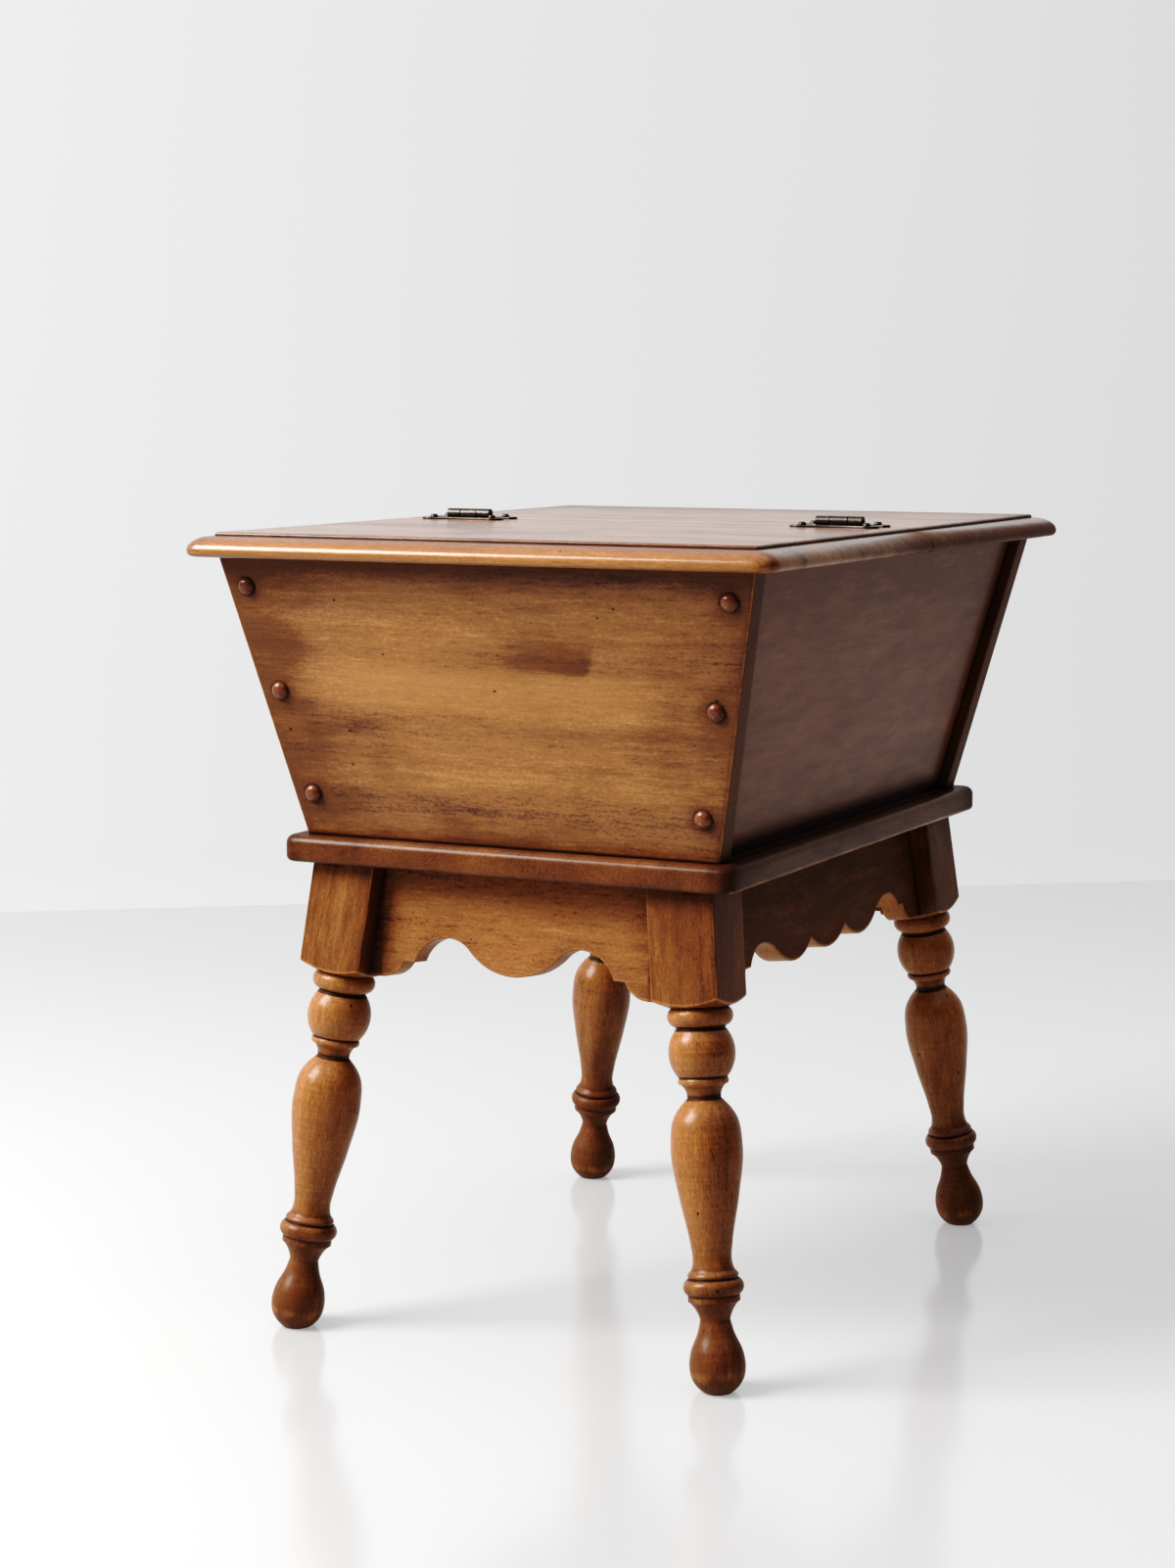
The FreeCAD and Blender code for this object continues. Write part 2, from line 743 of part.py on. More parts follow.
save("front_right_leg", leg)
save("front_left_leg", mirrored(leg, left_right))
save("rear_right_leg", mirrored(leg, front_rear))
save("rear_left_leg", mirrored(mirrored(leg, front_rear), left_right))
save("front_apron", front)
save("rear_apron", mirrored(front, front_rear))
save("right_apron", right)
save("left_apron", mirrored(right, left_right))
save("front_stand_cleat", front_strip.cut(stand_holes))
save("rear_stand_cleat", mirrored(front_strip, front_rear).cut(stand_holes))
save("right_stand_cleat", right_strip.cut(stand_holes))
save("left_stand_cleat", mirrored(right_strip, left_right).cut(stand_holes))
save("stand_screws", Part.makeCompound(stand_screws))

# Box pieces
end_screw_y = box_half_y(box_bottom) - end_run / 2
side_screw_x = box_half_x(box_bottom) - side_board_recess - side_run / 2
screw_x = box_half_x(box_bottom) - box_screw_from_corner_x
screw_y = box_half_y(box_bottom) - box_screw_from_corner_y
box_places = []
for side in (-1, 1):
    for end in (-1, 1):
        box_places.append((side * screw_x, end * end_screw_y, stand_height))
        box_places.append((side * side_screw_x, end * screw_y, stand_height))
box_screws = placed(wood_screw(box_screw_length), box_places)
box_holes = placed(screw_hole(box_screw_length), box_places)
front_peg_holes = at_pegs(peg_hole())
peg_holes = front_peg_holes + [mirrored(hole, front_rear) for hole in front_peg_holes]
front_pegs = at_pegs(peg())
front_end = end_board().cut(front_peg_holes + box_holes)
right_side = side_board().cut(peg_holes + box_holes)

save("base_board", base_board().cut(box_holes + stand_holes))
save("box_screws", Part.makeCompound(box_screws))
save("front_end_board", front_end)
save("rear_end_board", mirrored(front_end, front_rear))
save("right_side_board", right_side)
save("left_side_board", mirrored(right_side, left_right))
save("front_pegs", Part.makeCompound(front_pegs))
save("rear_pegs", Part.makeCompound([mirrored(shape, front_rear) for shape in front_pegs]))

# Top pieces
top = full_top()
cleat = top_cleat()
cleat_screw_x = box_half_x(box_top) - side_board_recess - side_run - cleat_size / 2
cleat_screw_z = box_top - stand_screw_grip
cleat_places = []
for side in (-1, 1):
    for end in (-1, 1):
        y = top_cleat_from_seam + top_cleat_length / 2 + end * top_cleat_length * screw_place_share
        cleat_places.append((side * cleat_screw_x, y, cleat_screw_z))
cleat_holes = placed(screw_hole(stand_screw_length), cleat_places)
right_cleat = cleat.cut(cleat_holes)
rear_half = box_between(
    Vector(-top_width, leaf_gap / 2, box_top - overrun),
    Vector(top_width, top_length, top_height + overrun),
)
front_half = box_between(
    Vector(-top_width, -top_length, box_top + lid_seat_clearance),
    Vector(top_width, -leaf_gap / 2, top_height + overrun),
)

save("fixed_top_board", top.common(rear_half).cut(cleat_holes + at_hinge_screws(pan_hole(), 1)))
save("lid_board", top.common(front_half).cut(at_hinge_screws(pan_hole(), -1)))
save("right_top_cleat", right_cleat)
save("left_top_cleat", mirrored(right_cleat, left_right))
save("top_cleat_screws", Part.makeCompound(placed(wood_screw(stand_screw_length), cleat_places)))

# Hinges
fixed_leaf = hinge_leaf((0, 2), pin_diameter)
lid_leaf = mirrored(hinge_leaf((1,), pin_diameter + 2 * pin_running_clearance), front_rear)
pin = hinge_pin()
for side, name in ((-1, "left"), (1, "right")):
    x = side * hinge_x
    save(name + "_hinge_fixed_leaf", shifted(fixed_leaf, x, 0, top_height))
    save(name + "_hinge_lid_leaf", shifted(lid_leaf, x, 0, top_height))
    save(name + "_hinge_pin", shifted(pin, x, 0, top_height))
save("fixed_hinge_screws", Part.makeCompound(at_hinge_screws(pan_screw(), 1)))
save("lid_hinge_screws", Part.makeCompound(at_hinge_screws(pan_screw(), -1)))
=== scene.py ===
import math
from functools import partialmethod

import bmesh
import bpy
from bpy.props import FloatProperty, FloatVectorProperty, IntProperty, PointerProperty
from mathutils import Matrix, Vector
from mathutils.geometry import interpolate_bezier


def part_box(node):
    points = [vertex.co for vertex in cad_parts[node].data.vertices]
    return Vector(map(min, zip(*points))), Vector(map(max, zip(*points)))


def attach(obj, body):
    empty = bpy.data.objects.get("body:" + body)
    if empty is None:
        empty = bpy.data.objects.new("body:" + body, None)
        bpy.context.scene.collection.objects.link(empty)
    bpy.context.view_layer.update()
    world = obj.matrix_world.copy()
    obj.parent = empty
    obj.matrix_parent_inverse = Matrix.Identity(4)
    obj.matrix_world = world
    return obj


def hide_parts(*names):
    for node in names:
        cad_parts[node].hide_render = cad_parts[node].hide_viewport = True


bl_info = {
    "name": "Dough Box End Table",
    "version": (1, 0, 0),
    "blender": (4, 5, 0),
    "location": "3D View > Sidebar > Dough Box",
    "description": "Shapes and finishes a maple dough box end table round its packed frame",
    "category": "Object",
}

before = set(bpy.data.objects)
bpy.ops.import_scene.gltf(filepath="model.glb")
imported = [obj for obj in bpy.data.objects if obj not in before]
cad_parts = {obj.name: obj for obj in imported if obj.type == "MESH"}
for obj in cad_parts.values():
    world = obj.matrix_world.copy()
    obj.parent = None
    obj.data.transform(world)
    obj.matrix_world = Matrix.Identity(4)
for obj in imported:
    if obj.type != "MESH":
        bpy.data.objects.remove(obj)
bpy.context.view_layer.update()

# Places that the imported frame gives, in metres
lid_low, lid_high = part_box("lid_board")
fixed_low, fixed_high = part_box("fixed_top_board")
base_low, base_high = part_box("base_board")
end_low, end_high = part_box("front_end_board")
pin_low, pin_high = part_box("right_hinge_pin")

TOP_HALF = Vector((lid_high.x, fixed_high.y))
TOP_FACE = lid_high.z
BOX_TOP_HALF = Vector((end_high.x, -end_low.y))
BOX_TOP = end_high.z
BOX_BOTTOM = base_high.z
STAND_TOP = base_low.z

MM = 0.001
UP = Vector((0.0, 0.0, 1.0))
DIAGONAL = Vector((1, 1))
FULL_TURN = 2 * math.pi
QUARTER_TURN = math.pi / 2
WHITE = (1.0, 1.0, 1.0, 1.0)

# The turned part of a leg from the shoulder down, as shares of its length and of half the stock
RING_SHARES = ((0.0, 0.80), (0.024, 0.917), (0.0484, 0.72))
BALL_SHARES = ((0.0531, 0.675), (0.1165, 0.927), (0.1827, 0.667))
COLLAR_SHARES = ((0.1827, 0.667), (0.191, 0.705), (0.199, 0.675))
UPPER_COVE_SHARES = ((0.199, 0.640), (0.215, 0.505), (0.2362, 0.470))
VASE_SHARES = (
    (0.2362, 0.470), (0.2591, 0.700), (0.2846, 0.870), (0.3610, 0.995), (0.4886, 0.835),
    (0.6157, 0.579), (0.6540, 0.539), (0.6791, 0.592), (0.6969, 0.707), (0.7015, 0.685),
)
LOWER_RING_SHARES = ((0.7035, 0.690), (0.7256, 0.842), (0.7457, 0.722))
FILLET_SHARES = ((0.7630, 0.722),)
LOWER_COVE_SHARES = ((0.7630, 0.700), (0.7835, 0.530), (0.8114, 0.417))
PEAR_SHARES = (
    (0.8114, 0.417), (0.8441, 0.505), (0.8953, 0.727), (0.9311, 0.779), (0.9630, 0.725),
    (0.9850, 0.580), (1.0040, 0.340),
)

# Apron outlines from the middle out, as shares of the half length and of the depth
FRONT_APRON_SHARES = {
    "cusp": None, "drop": (0.0, 0.904), "arch": (0.490, 0.623), "arch_end": (0.739, 0.855),
    "step": 0.821, "bracket": 0.987, "drop_radius": 0.67,
}
SIDE_APRON_SHARES = {
    "cusp": (0.182, 0.789), "drop": (0.350, 0.9225), "arch": (0.676, 0.6725),
    "arch_end": (0.797, 0.8275), "step": 0.851, "bracket": 0.948, "drop_radius": 0.55,
}

# Soft patches of stain on an end board: place across and up, reach across and up, and strength, as shares
SHARED_PATCH_SHARES = ((-0.05, 0.24, 0.45, 0.05, -0.25), (-0.30, 0.74, 0.50, 0.07, -0.30))
FRONT_SMUDGE_SHARES = (
    (-0.84, 0.70, 0.11, 0.085, 1.1), (0.22, 0.73, 0.12, 0.07, 0.45), (-0.62, 0.42, 0.14, 0.05, 0.4),
    (-0.75, 0.13, 0.14, 0.06, 0.5), (-0.80, 0.36, 0.08, 0.12, 0.4), (0.35, 0.42, 0.25, 0.03, 0.5),
    (0.95, 0.50, 0.08, 0.12, 0.4), (0.72, 0.44, 0.13, 0.12, 0.7), (0.75, 0.62, 0.14, 0.10, 0.4),
    (-0.80, 0.90, 0.30, 0.08, 0.3), (-0.40, 0.58, 0.35, 0.07, -0.5), (0.35, 0.16, 0.50, 0.07, -0.2),
)

# Contrast of the picture: light in and light out
TONE_SHARES = ((0.03, 0.009), (0.06, 0.026), (0.10, 0.066), (0.16, 0.143), (0.25, 0.25), (0.60, 0.615), (0.95, 0.935))

# Stain colours of each wood: label, what it covers, pale, warm and deep
TONES = (("pale", "Lightest"), ("warm", "Middle"), ("deep", "Darkest"))
STAINS = {
    "case": ("Box", "box boards", (0.475, 0.224, 0.082), (0.315, 0.134, 0.050), (0.105, 0.046, 0.025)),
    "leg": ("Legs", "legs", (0.43, 0.194, 0.072), (0.3, 0.12, 0.043), (0.110, 0.044, 0.020)),
    "apron": ("Aprons", "aprons", (0.45, 0.212, 0.088), (0.315, 0.134, 0.056), (0.1, 0.037, 0.02)),
    "base": ("Base", "base board", (0.22, 0.09, 0.034), (0.142, 0.053, 0.021), (0.065, 0.025, 0.011)),
    "top": ("Top", "top", (0.43, 0.195, 0.066), (0.26, 0.096, 0.031), (0.085, 0.028, 0.013)),
    "peg": ("Pegs", "pegs", (0.25, 0.093, 0.04), (0.16, 0.052, 0.024), (0.065, 0.02, 0.012)),
    "plain": ("Strips", "hidden strips", (0.52, 0.31, 0.15), (0.42, 0.235, 0.105), (0.22, 0.11, 0.045)),
}


# Properties, with a user's name, a description and a unit
def length(name, description, millimetres):
    return FloatProperty(
        name=name, description=description, default=millimetres * MM, min=0.0, unit="LENGTH", precision=4
    )


def turn(name, description, degrees):
    return FloatProperty(name=name, description=description, default=math.radians(degrees), subtype="ANGLE")


def stain(name, description, colour):
    return FloatVectorProperty(
        name=name, description=description, default=colour, size=3, subtype="COLOR", min=0.0, max=1.0
    )


def amount(name, description, default, subtype="FACTOR"):
    return FloatProperty(name=name, description=description, default=default, min=0.0, subtype=subtype)


class DoughBoxTop(bpy.types.PropertyGroup):
    """Sizes of the two top leaves."""

    corner_radius: length("Corner", "Radius of the outer corners in plan", 14)
    field_inset: length("Field inset", "From the outer edge to the raised field", 18)
    field_step: length("Field step", "How far the field stands over the moulded edge", 2.4)
    under_radius: length("Under round", "Round under the moulded edge", 4.2)


class DoughBoxCase(bpy.types.PropertyGroup):
    """Sizes of the storage box, its pegs and its base board."""

    lean: turn("Lean", "How far the walls lean outward", 12.5)
    end_thickness: length("End board", "Thickness of the end boards", 17.5)
    side_thickness: length("Side board", "Thickness of the side boards", 16)
    side_recess: length("Recess", "From the edge of an end board to the side board", 7)
    arris: length("Arris", "Rounding of the rising edges", 1.2)
    peg_diameter: length("Peg head", "Diameter of a peg head", 12.6)
    peg_proud: length("Peg dome", "How far a peg stands proud", 4.4)
    peg_shank: length("Peg shank", "Diameter of a peg in the wood", 8)
    peg_grip: length("Peg grip", "How far a peg reaches into the side board", 22)
    peg_from_top: length("Highest peg", "From the top of the box to the highest peg", 20)
    peg_from_bottom: length("Lowest peg", "From the floor of the box to the lowest peg", 29.5)
    peg_count: IntProperty(name="Pegs", description="Pegs in each corner of the box", default=3, min=2)
    base_corner: length("Base corner", "Radius of the base board's corners in plan", 10)
    base_upper: length("Base upper round", "Round along the top of the base board", 6)
    base_lower: length("Base lower round", "Round along the bottom of the base board", 4)


class DoughBoxStand(bpy.types.PropertyGroup):
    """Sizes of the legs and the aprons."""

    splay: turn("Splay", "Lean of a leg each way", 6.3)
    stock: length("Stock", "Side of the square stock of a leg", 48)
    set_in_x: length("Set in across", "From the side of the base board to a leg", 18.9)
    set_in_y: length("Set in along", "From the end of the base board to a leg", 12.9)
    block: length("Block", "Length of the square block", 81.5)
    shoulder_rise: length("Shoulder", "Rise of the turned shoulder to its corners", 7)
    shoulder_bulge: length("Shoulder bulge", "Bulge of the shoulder under its chord", 0.8)
    arris: length("Leg arris", "Rounding of the block's edges", 1)
    apron_thickness: length("Apron", "Thickness of the aprons", 18)
    apron_setback: length("Setback", "From the face of a leg to the apron", 15)
    apron_depth: length("Apron depth", "Depth of the aprons", 80)
    apron_arris: length("Apron arris", "Rounding of the scalloped edge", 1)


class DoughBoxHinge(bpy.types.PropertyGroup):
    """Sizes of the butterfly hinges."""

    knuckle: length("Knuckle", "Diameter of the barrel", 7.2)
    lift: length("Lift", "From the top to the underside of the barrel", 0.4)
    barrel: length("Barrel", "Length of the barrel", 35.8)
    gap: length("Gap", "Gap between two knuckles", 0.3)
    plate: length("Plate", "Thickness of a leaf", 1.4)
    clearance: length("Plate clearance", "From the barrel to the plate", 0.5)
    reach: length("Reach", "From the pin to the tip of a lobe", 19)
    dip: length("Dip", "How far the outer edge dips between the lobes", 2.6)
    lobe: length("Lobe", "Radius of a lobe", 8)
    half_span: length("Half span", "Half the length of a leaf along the pin", 33.3)
    bow: length("Waist bow", "Bow of the waist between barrel and lobe", 1)
    lobe_turn: turn("Lobe turn", "Where the waist meets the lobe", 50)
    pin: length("Pin", "Diameter of the pin", 3.2)
    rim: length("Rim", "Rounding of the worn rims", 0.28)


class DoughBoxFinish(bpy.types.PropertyGroup):
    """Stain colours of the maple, the colours of the hinges and the clear coats."""

    worn: stain("Worn wood", "Wood where the stain has rubbed off", (0.55, 0.26, 0.080))
    # The grime colour also paints shade where a piece's grime mark stands for it
    grime: stain("Grime", "Old wax and dirt in the grooves", (0.018, 0.009, 0.006))
    tarnish: stain("Tarnish", "Dark tarnish of the hinges", (0.070, 0.060, 0.055))
    rubbed_metal: stain("Rubbed metal", "Worn edges of the hinges", (0.38, 0.28, 0.18))
    steel: stain("Steel", "Steel of the hidden screws", (0.42, 0.40, 0.37))
    coat: amount("Coat", "Strength of the clear coat on the box", 0.40)
    top_coat: amount("Top coat", "Strength of the clear coat on the top", 0.62)
    leg_coat: amount("Leg coat", "Strength of the clear coat on the legs", 0.30)
    base_coat: amount("Base coat", "Strength of the clear coat on the base board", 0.25)
    stand_coat: amount("Stand coat", "Strength of the clear coat on the aprons", 0.18)


for wood, (label, covered, *colours) in STAINS.items():
    for (tone, which), colour in zip(TONES, colours):
        made = stain(f"{label}, {tone}", f"{which} tone of the {covered}", colour)
        DoughBoxFinish.__annotations__[f"{wood}_{tone}"] = made


class DoughBoxStudio(bpy.types.PropertyGroup):
    """The camera, the floor and the light."""

    eye: FloatVectorProperty(
        name="Eye", description="Place of the camera", default=(0.97799, -2.05266, 0.66013),
        size=3, subtype="TRANSLATION", unit="LENGTH",
    )
    heading: turn("Heading", "How far the camera turns left of straight ahead", math.degrees(0.4645))
    pitch: turn("Pitch", "How far the camera looks up", math.degrees(-0.1277))
    lens: FloatProperty(name="Lens", description="Focal length in millimetres", default=71.553, min=1.0)
    wall: length("Wall", "From the camera to the pale wall", 3990)
    wall_turn: turn("Wall turn", "How far the wall turns left of square to the view", 9.6)
    floor_paper: stain("Floor", "Colour of the floor", (0.388, 0.390, 0.393))
    floor_glow: amount("Floor light", "Brightness of the floor", 0.305)
    wall_glow: amount("Wall light", "Brightness of the wall", 0.755)
    bounce: amount("Bounce", "Share of its light that the paper throws back at the table", 0.85)
    window: amount("Window", "Power of the window light in watts", 130.0, "NONE")
    room: amount("Room", "Strength of the light from the room on the left", 0.22, "NONE")
    ceiling: amount("Ceiling", "Strength of the light from above", 1.15, "NONE")


class DoughBoxSettings(bpy.types.PropertyGroup):
    """All sizes and colours of the table."""

    top: PointerProperty(type=DoughBoxTop)
    case: PointerProperty(type=DoughBoxCase)
    stand: PointerProperty(type=DoughBoxStand)
    hinge: PointerProperty(type=DoughBoxHinge)
    finish: PointerProperty(type=DoughBoxFinish)
    studio: PointerProperty(type=DoughBoxStudio)


# Curves in a plane, as lists of points
def steps(count):
    """Even shares from 0 to 1, both ends included."""
    return [i / count for i in range(count + 1)]


def graded(count):
    """Shares from 0 to 1 that come closer together towards 1."""
    return [1 - (1 - t) ** 1.8 for t in steps(count)]


def toward(angle):
    return Vector((math.cos(angle), math.sin(angle)))


def arc(start, middle, end, count):
    """Points of the arc through three points."""
    a, b, c = Vector(start), Vector(middle), Vector(end)
    twice_area = 2 * (a.x * (b.y - c.y) + b.x * (c.y - a.y) + c.x * (a.y - b.y))
    aa, bb, cc = a.length_squared, b.length_squared, c.length_squared
    centre = Vector((
        (aa * (b.y - c.y) + bb * (c.y - a.y) + cc * (a.y - b.y)) / twice_area,
        (aa * (c.x - b.x) + bb * (a.x - c.x) + cc * (b.x - a.x)) / twice_area,
    ))
    first, through, last = [math.atan2(point.y - centre.y, point.x - centre.x) for point in (a, b, c)]
    sweep = (last - first) % FULL_TURN
    if (through - first) % FULL_TURN > sweep:
        sweep -= FULL_TURN
    radius = (a - centre).length
    return [centre + radius * toward(first + sweep * t) for t in steps(count)]


def arc_about(centre, start, end, count):
    """Points of the shorter arc about a centre."""
    towards = (start - centre).normalized() + (end - centre).normalized()
    return arc(start, centre + towards.normalized() * (start - centre).length, end, count)


def quarter(start, corner, end, count):
    """Points of a quarter ellipse that touches both sides of a corner."""
    start, corner, end = Vector(start), Vector(corner), Vector(end)
    across, along = corner - start, end - corner
    return [start + across * math.sin(t * QUARTER_TURN) + along * (1 - math.cos(t * QUARTER_TURN))
            for t in steps(count)]


def smooth_curve(knots, count):
    """Points of a curve that runs smoothly through its knots, with some between each two."""
    slopes = []
    for before, knot, after in zip(knots[:1] + knots, knots, knots[1:] + knots[-1:]):
        back, ahead = (knot - before).length, (after - knot).length
        back, ahead = back or ahead, ahead or back
        slope = (after - knot) / ahead * back + (knot - before) / back * ahead
        slopes.append(slope / (back + ahead))
    points = [knots[0]]
    for start, end, leaving, coming in zip(knots, knots[1:], slopes, slopes[1:]):
        third = (end - start).length / 3
        span = interpolate_bezier(start, start + leaving * third, end - coming * third, end, count + 1)
        points += [Vector(point[:2]) for point in span[1:]]
    return points


def joined(*stretches):
    """One line from several stretches, without doubled points."""
    points = []
    for stretch in stretches:
        for point in stretch:
            point = Vector(point)
            if not points or (point - points[-1]).length > 1e-6:
                points.append(point)
    return points


def mirrored(line):
    """The line on the other side of the upright axis, drawn the other way."""
    return [Vector((-point.x, point.y)) for point in line[::-1]]


def bend_angle(into, out):
    return math.atan2(into.x * out.y - into.y * out.x, into.dot(out))


def softened(line, radius):
    """The line with its sharp corners rounded."""
    sharp = math.radians(22)
    points = [line[0]]
    for before, here, after in zip(line, line[1:], line[2:]):
        into, out = here - before, after - here
        angle = abs(bend_angle(into, out))
        if angle < sharp:
            points.append(here)
            continue
        reach = min(radius * math.tan(angle / 2), into.length * 0.4, out.length * 0.4)
        start, end = here - into.normalized() * reach, here + out.normalized() * reach
        points += [start, (start + 2 * here + end) / 4, end]
    return points + [line[-1]]


def refined(line, step):
    """The line with points between those that lie further apart than a step."""
    points = [line[0]]
    for before, here in zip(line, line[1:]):
        parts = max(1, math.ceil((here - before).length / step))
        points += [before.lerp(here, (i + 1) / parts) for i in range(parts)]
    return points


def near(distance, reach):
    """1 at no distance, and falling to nothing past a reach."""
    return math.exp(-(distance / reach) ** 2)


def edged(distance, softness):
    """Rises from 0 before an edge to 1 past it."""
    return 1 / (1 + math.exp(-max(-60.0, min(60.0, distance / softness))))


def bends(line, reach):
    """How much a line turns near each of its points: to 1 at an outer corner, to -1 in a groove.
    The material lies on the left of the line."""
    places = [0.0]
    for before, here in zip(line, line[1:]):
        places.append(places[-1] + (here - before).length)
    turns = []
    for place, before, here, after in zip(places[1:], line, line[1:], line[2:]):
        turns.append((place, bend_angle(here - before, after - here)))
    values = []
    for place in places:
        value = sum(angle * near(place - at, reach) for at, angle in turns if abs(at - place) < 3 * reach)
        values.append(max(-1.0, min(1.0, value / QUARTER_TURN)))
    return values


def rounded_ring(low, high, radius, height, corner_steps, side_steps):
    """A level ring of points round a rectangle with rounded corners, seen from above against the clock."""
    radius = max(radius, 0.3 * MM)
    points = []
    corners = ((high.x, low.y, -90), (high.x, high.y, 0), (low.x, high.y, 90), (low.x, low.y, 180))
    for index, (x, y, first) in enumerate(corners):
        centre = Vector((x - math.copysign(radius, x - low.x - 1e-9), y - math.copysign(radius, y - low.y - 1e-9)))
        points += [centre + radius * toward(math.radians(first + 90 * t)) for t in steps(corner_steps)]
        after = corners[(index + 1) % 4]
        count = side_steps[0] if after[0] == x else side_steps[1]
        run = Vector((after[0] - x, after[1] - y))
        run -= run.normalized() * 2 * radius
        last = points[-1]
        points += [last + run * (i / count) for i in range(1, count)]
    return [Vector((*point, height)) for point in points]


# Meshes
class Blank:
    """The points, faces and finish marks of one piece while it is shaped.
    A mark holds how worn, how grimy and how deeply toned the finish is; in places the grime and the tone are painted
    shade, and the wear a painted highlight. Negative grime is polished, and a negative tone is paler."""

    def __init__(self, rings=()):
        """Joins rings of (point, mark) pairs, and closes the first and the last ring."""
        self.points = [point for ring in rings for point, mark in ring]
        self.marks = [mark for ring in rings for point, mark in ring]
        self.faces = []
        if not rings:
            return
        count, total = len(rings[0]), len(self.points)
        for here in range(0, total - count, count):
            for j in range(count):
                k = (j + 1) % count
                self.faces.append((here + j, here + k, here + count + k, here + count + j))
        self.faces += [tuple(range(count)), tuple(range(total - count, total))]

    def placed(self, matrix):
        """Moves what is there into place."""
        self.points = [matrix @ point for point in self.points]
        return self

    def add(self, other):
        first = len(self.points)
        self.points += other.points
        self.marks += other.marks
        self.faces += [tuple(index + first for index in face) for face in other.faces]
        return self

    def piece(self, name, material, body, slot, timber, *nodes):
        """Makes the object that stands for CAD nodes and rides on a body. The timber matrix turns its points
        into places in the wood, with X along the grain."""
        mesh = bpy.data.meshes.new(name)
        mesh.from_pydata(self.points, [], self.faces)
        shaped = bmesh.new()
        shaped.from_mesh(mesh)
        bmesh.ops.recalc_face_normals(shaped, faces=shaped.faces)
        shaped.to_mesh(mesh)
        shaped.free()
        mesh.shade_smooth()
        mesh.set_sharp_from_angle(angle=math.radians(35))
        for label, values in (("timber", [timber @ point for point in self.points]), ("marks", self.marks)):
            attribute = mesh.attributes.new(label, "FLOAT_VECTOR", "POINT")
            attribute.data.foreach_set("vector", [number for value in values for number in value])
        mesh.materials.append(material)
        made = bpy.data.objects.new(name, mesh)
        bpy.context.scene.collection.objects.link(made)
        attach(made, body)
        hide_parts(*nodes)
        return made


PIECE_APART = 0.73


def timber_frame(along, across, piece_number):
    """Turns a place in the frame into a place in the wood, in another part of the tree for each piece."""
    along, across = Vector(along), Vector(across)
    turned = Matrix((along, across, along.cross(across))).to_4x4()
    drift = (PIECE_APART * piece_number, 0.017 * (piece_number * 5 % 7 - 3), 0.013 * (piece_number * 3 % 5 - 2))
    return Matrix.Translation(drift) @ turned


def half_turned(turned):
    """Leaves a piece as drawn, or turns it round to the opposite side of the table."""
    return Matrix.Diagonal((-1, -1, 1, 1)) if turned else Matrix()


def opposite_pieces(names, draw, material, slot, grain, number):
    """Makes a piece as drawn and the one opposite it, each in its own part of the tree."""
    for turned, name in enumerate(names):
        timber = timber_frame(*grain, number + turned)
        draw(turned).placed(half_turned(turned)).piece(name + ".maple", material, "table", slot, timber, name)


def circle(count):
    return [FULL_TURN * i / count for i in range(count)]


def spot(angle, radius, height):
    """A point round the upright axis."""
    return Vector((radius * math.cos(angle), radius * math.sin(angle), height))


# Shader nodes
class Nodes:
    """Adds shader nodes to one tree."""

    def __init__(self, tree):
        self.tree = tree

    def add(self, kind, inputs=(), **settings):
        made = self.tree.nodes.new("ShaderNode" + kind)
        for name, value in settings.items():
            setattr(made, name, value)
        for place, value in dict(inputs).items():
            self.plug(made.inputs[place], value)
        return made

    def plug(self, socket, value):
        if isinstance(value, bpy.types.NodeSocket):
            self.tree.links.new(value, socket)
        else:
            socket.default_value = value

    def calculate(self, operation, *values):
        return self.add("Math", enumerate(values), operation=operation).outputs[0]

    times = partialmethod(calculate, "MULTIPLY")
    plus = partialmethod(calculate, "ADD")
    minus = partialmethod(calculate, "SUBTRACT")
    times_plus = partialmethod(calculate, "MULTIPLY_ADD")
    most = partialmethod(calculate, "MAXIMUM")
    least = partialmethod(calculate, "MINIMUM")
    under = partialmethod(calculate, "LESS_THAN")

    def vector(self, operation, *values, result=0):
        return self.add("VectorMath", enumerate(values), operation=operation).outputs[result]

    def stretched(self, place, along, across):
        return self.vector("MULTIPLY", place, (along, across, across))

    def parts(self, vector):
        return self.add("SeparateXYZ", {0: vector}).outputs

    def noise(self, place, along, across, detail, roughness):
        place = self.stretched(place, along, across)
        inputs = {"Vector": place, "Scale": 1.0, "Detail": detail, "Roughness": roughness}
        return self.add("TexNoise", inputs).outputs["Fac"]

    def rise(self, value, low, high):
        """Rises smoothly from 0 at low to 1 at high."""
        inputs = {"Value": value, "From Min": low, "From Max": high}
        return self.add("MapRange", inputs, interpolation_type="SMOOTHSTEP").outputs[0]

    def blend(self, factor, a, b, how="MIX"):
        return self.add("Mix", {0: factor, 6: a, 7: b}, data_type="RGBA", blend_type=how).outputs[2]

    def bump(self, strength, distance, height):
        return self.add("Bump", {"Strength": strength, "Distance": distance, "Height": height}).outputs[0]

    def close(self, sockets, results):
        """Plugs in the results, and lays the nodes out in columns, each to the left of what it feeds."""
        for label, value in results.items():
            self.plug(sockets[label], value)
        columns = {node.name: 0 for node in self.tree.nodes}
        for _ in columns:
            for link in self.tree.links:
                columns[link.from_node.name] = max(columns[link.from_node.name], columns[link.to_node.name] + 1)
        filled = {}
        for node in self.tree.nodes:
            column = columns[node.name]
            node.location = (-260 * column, -240 * filled.get(column, 0))
            filled[column] = filled.get(column, 0) + 1
        return self.tree


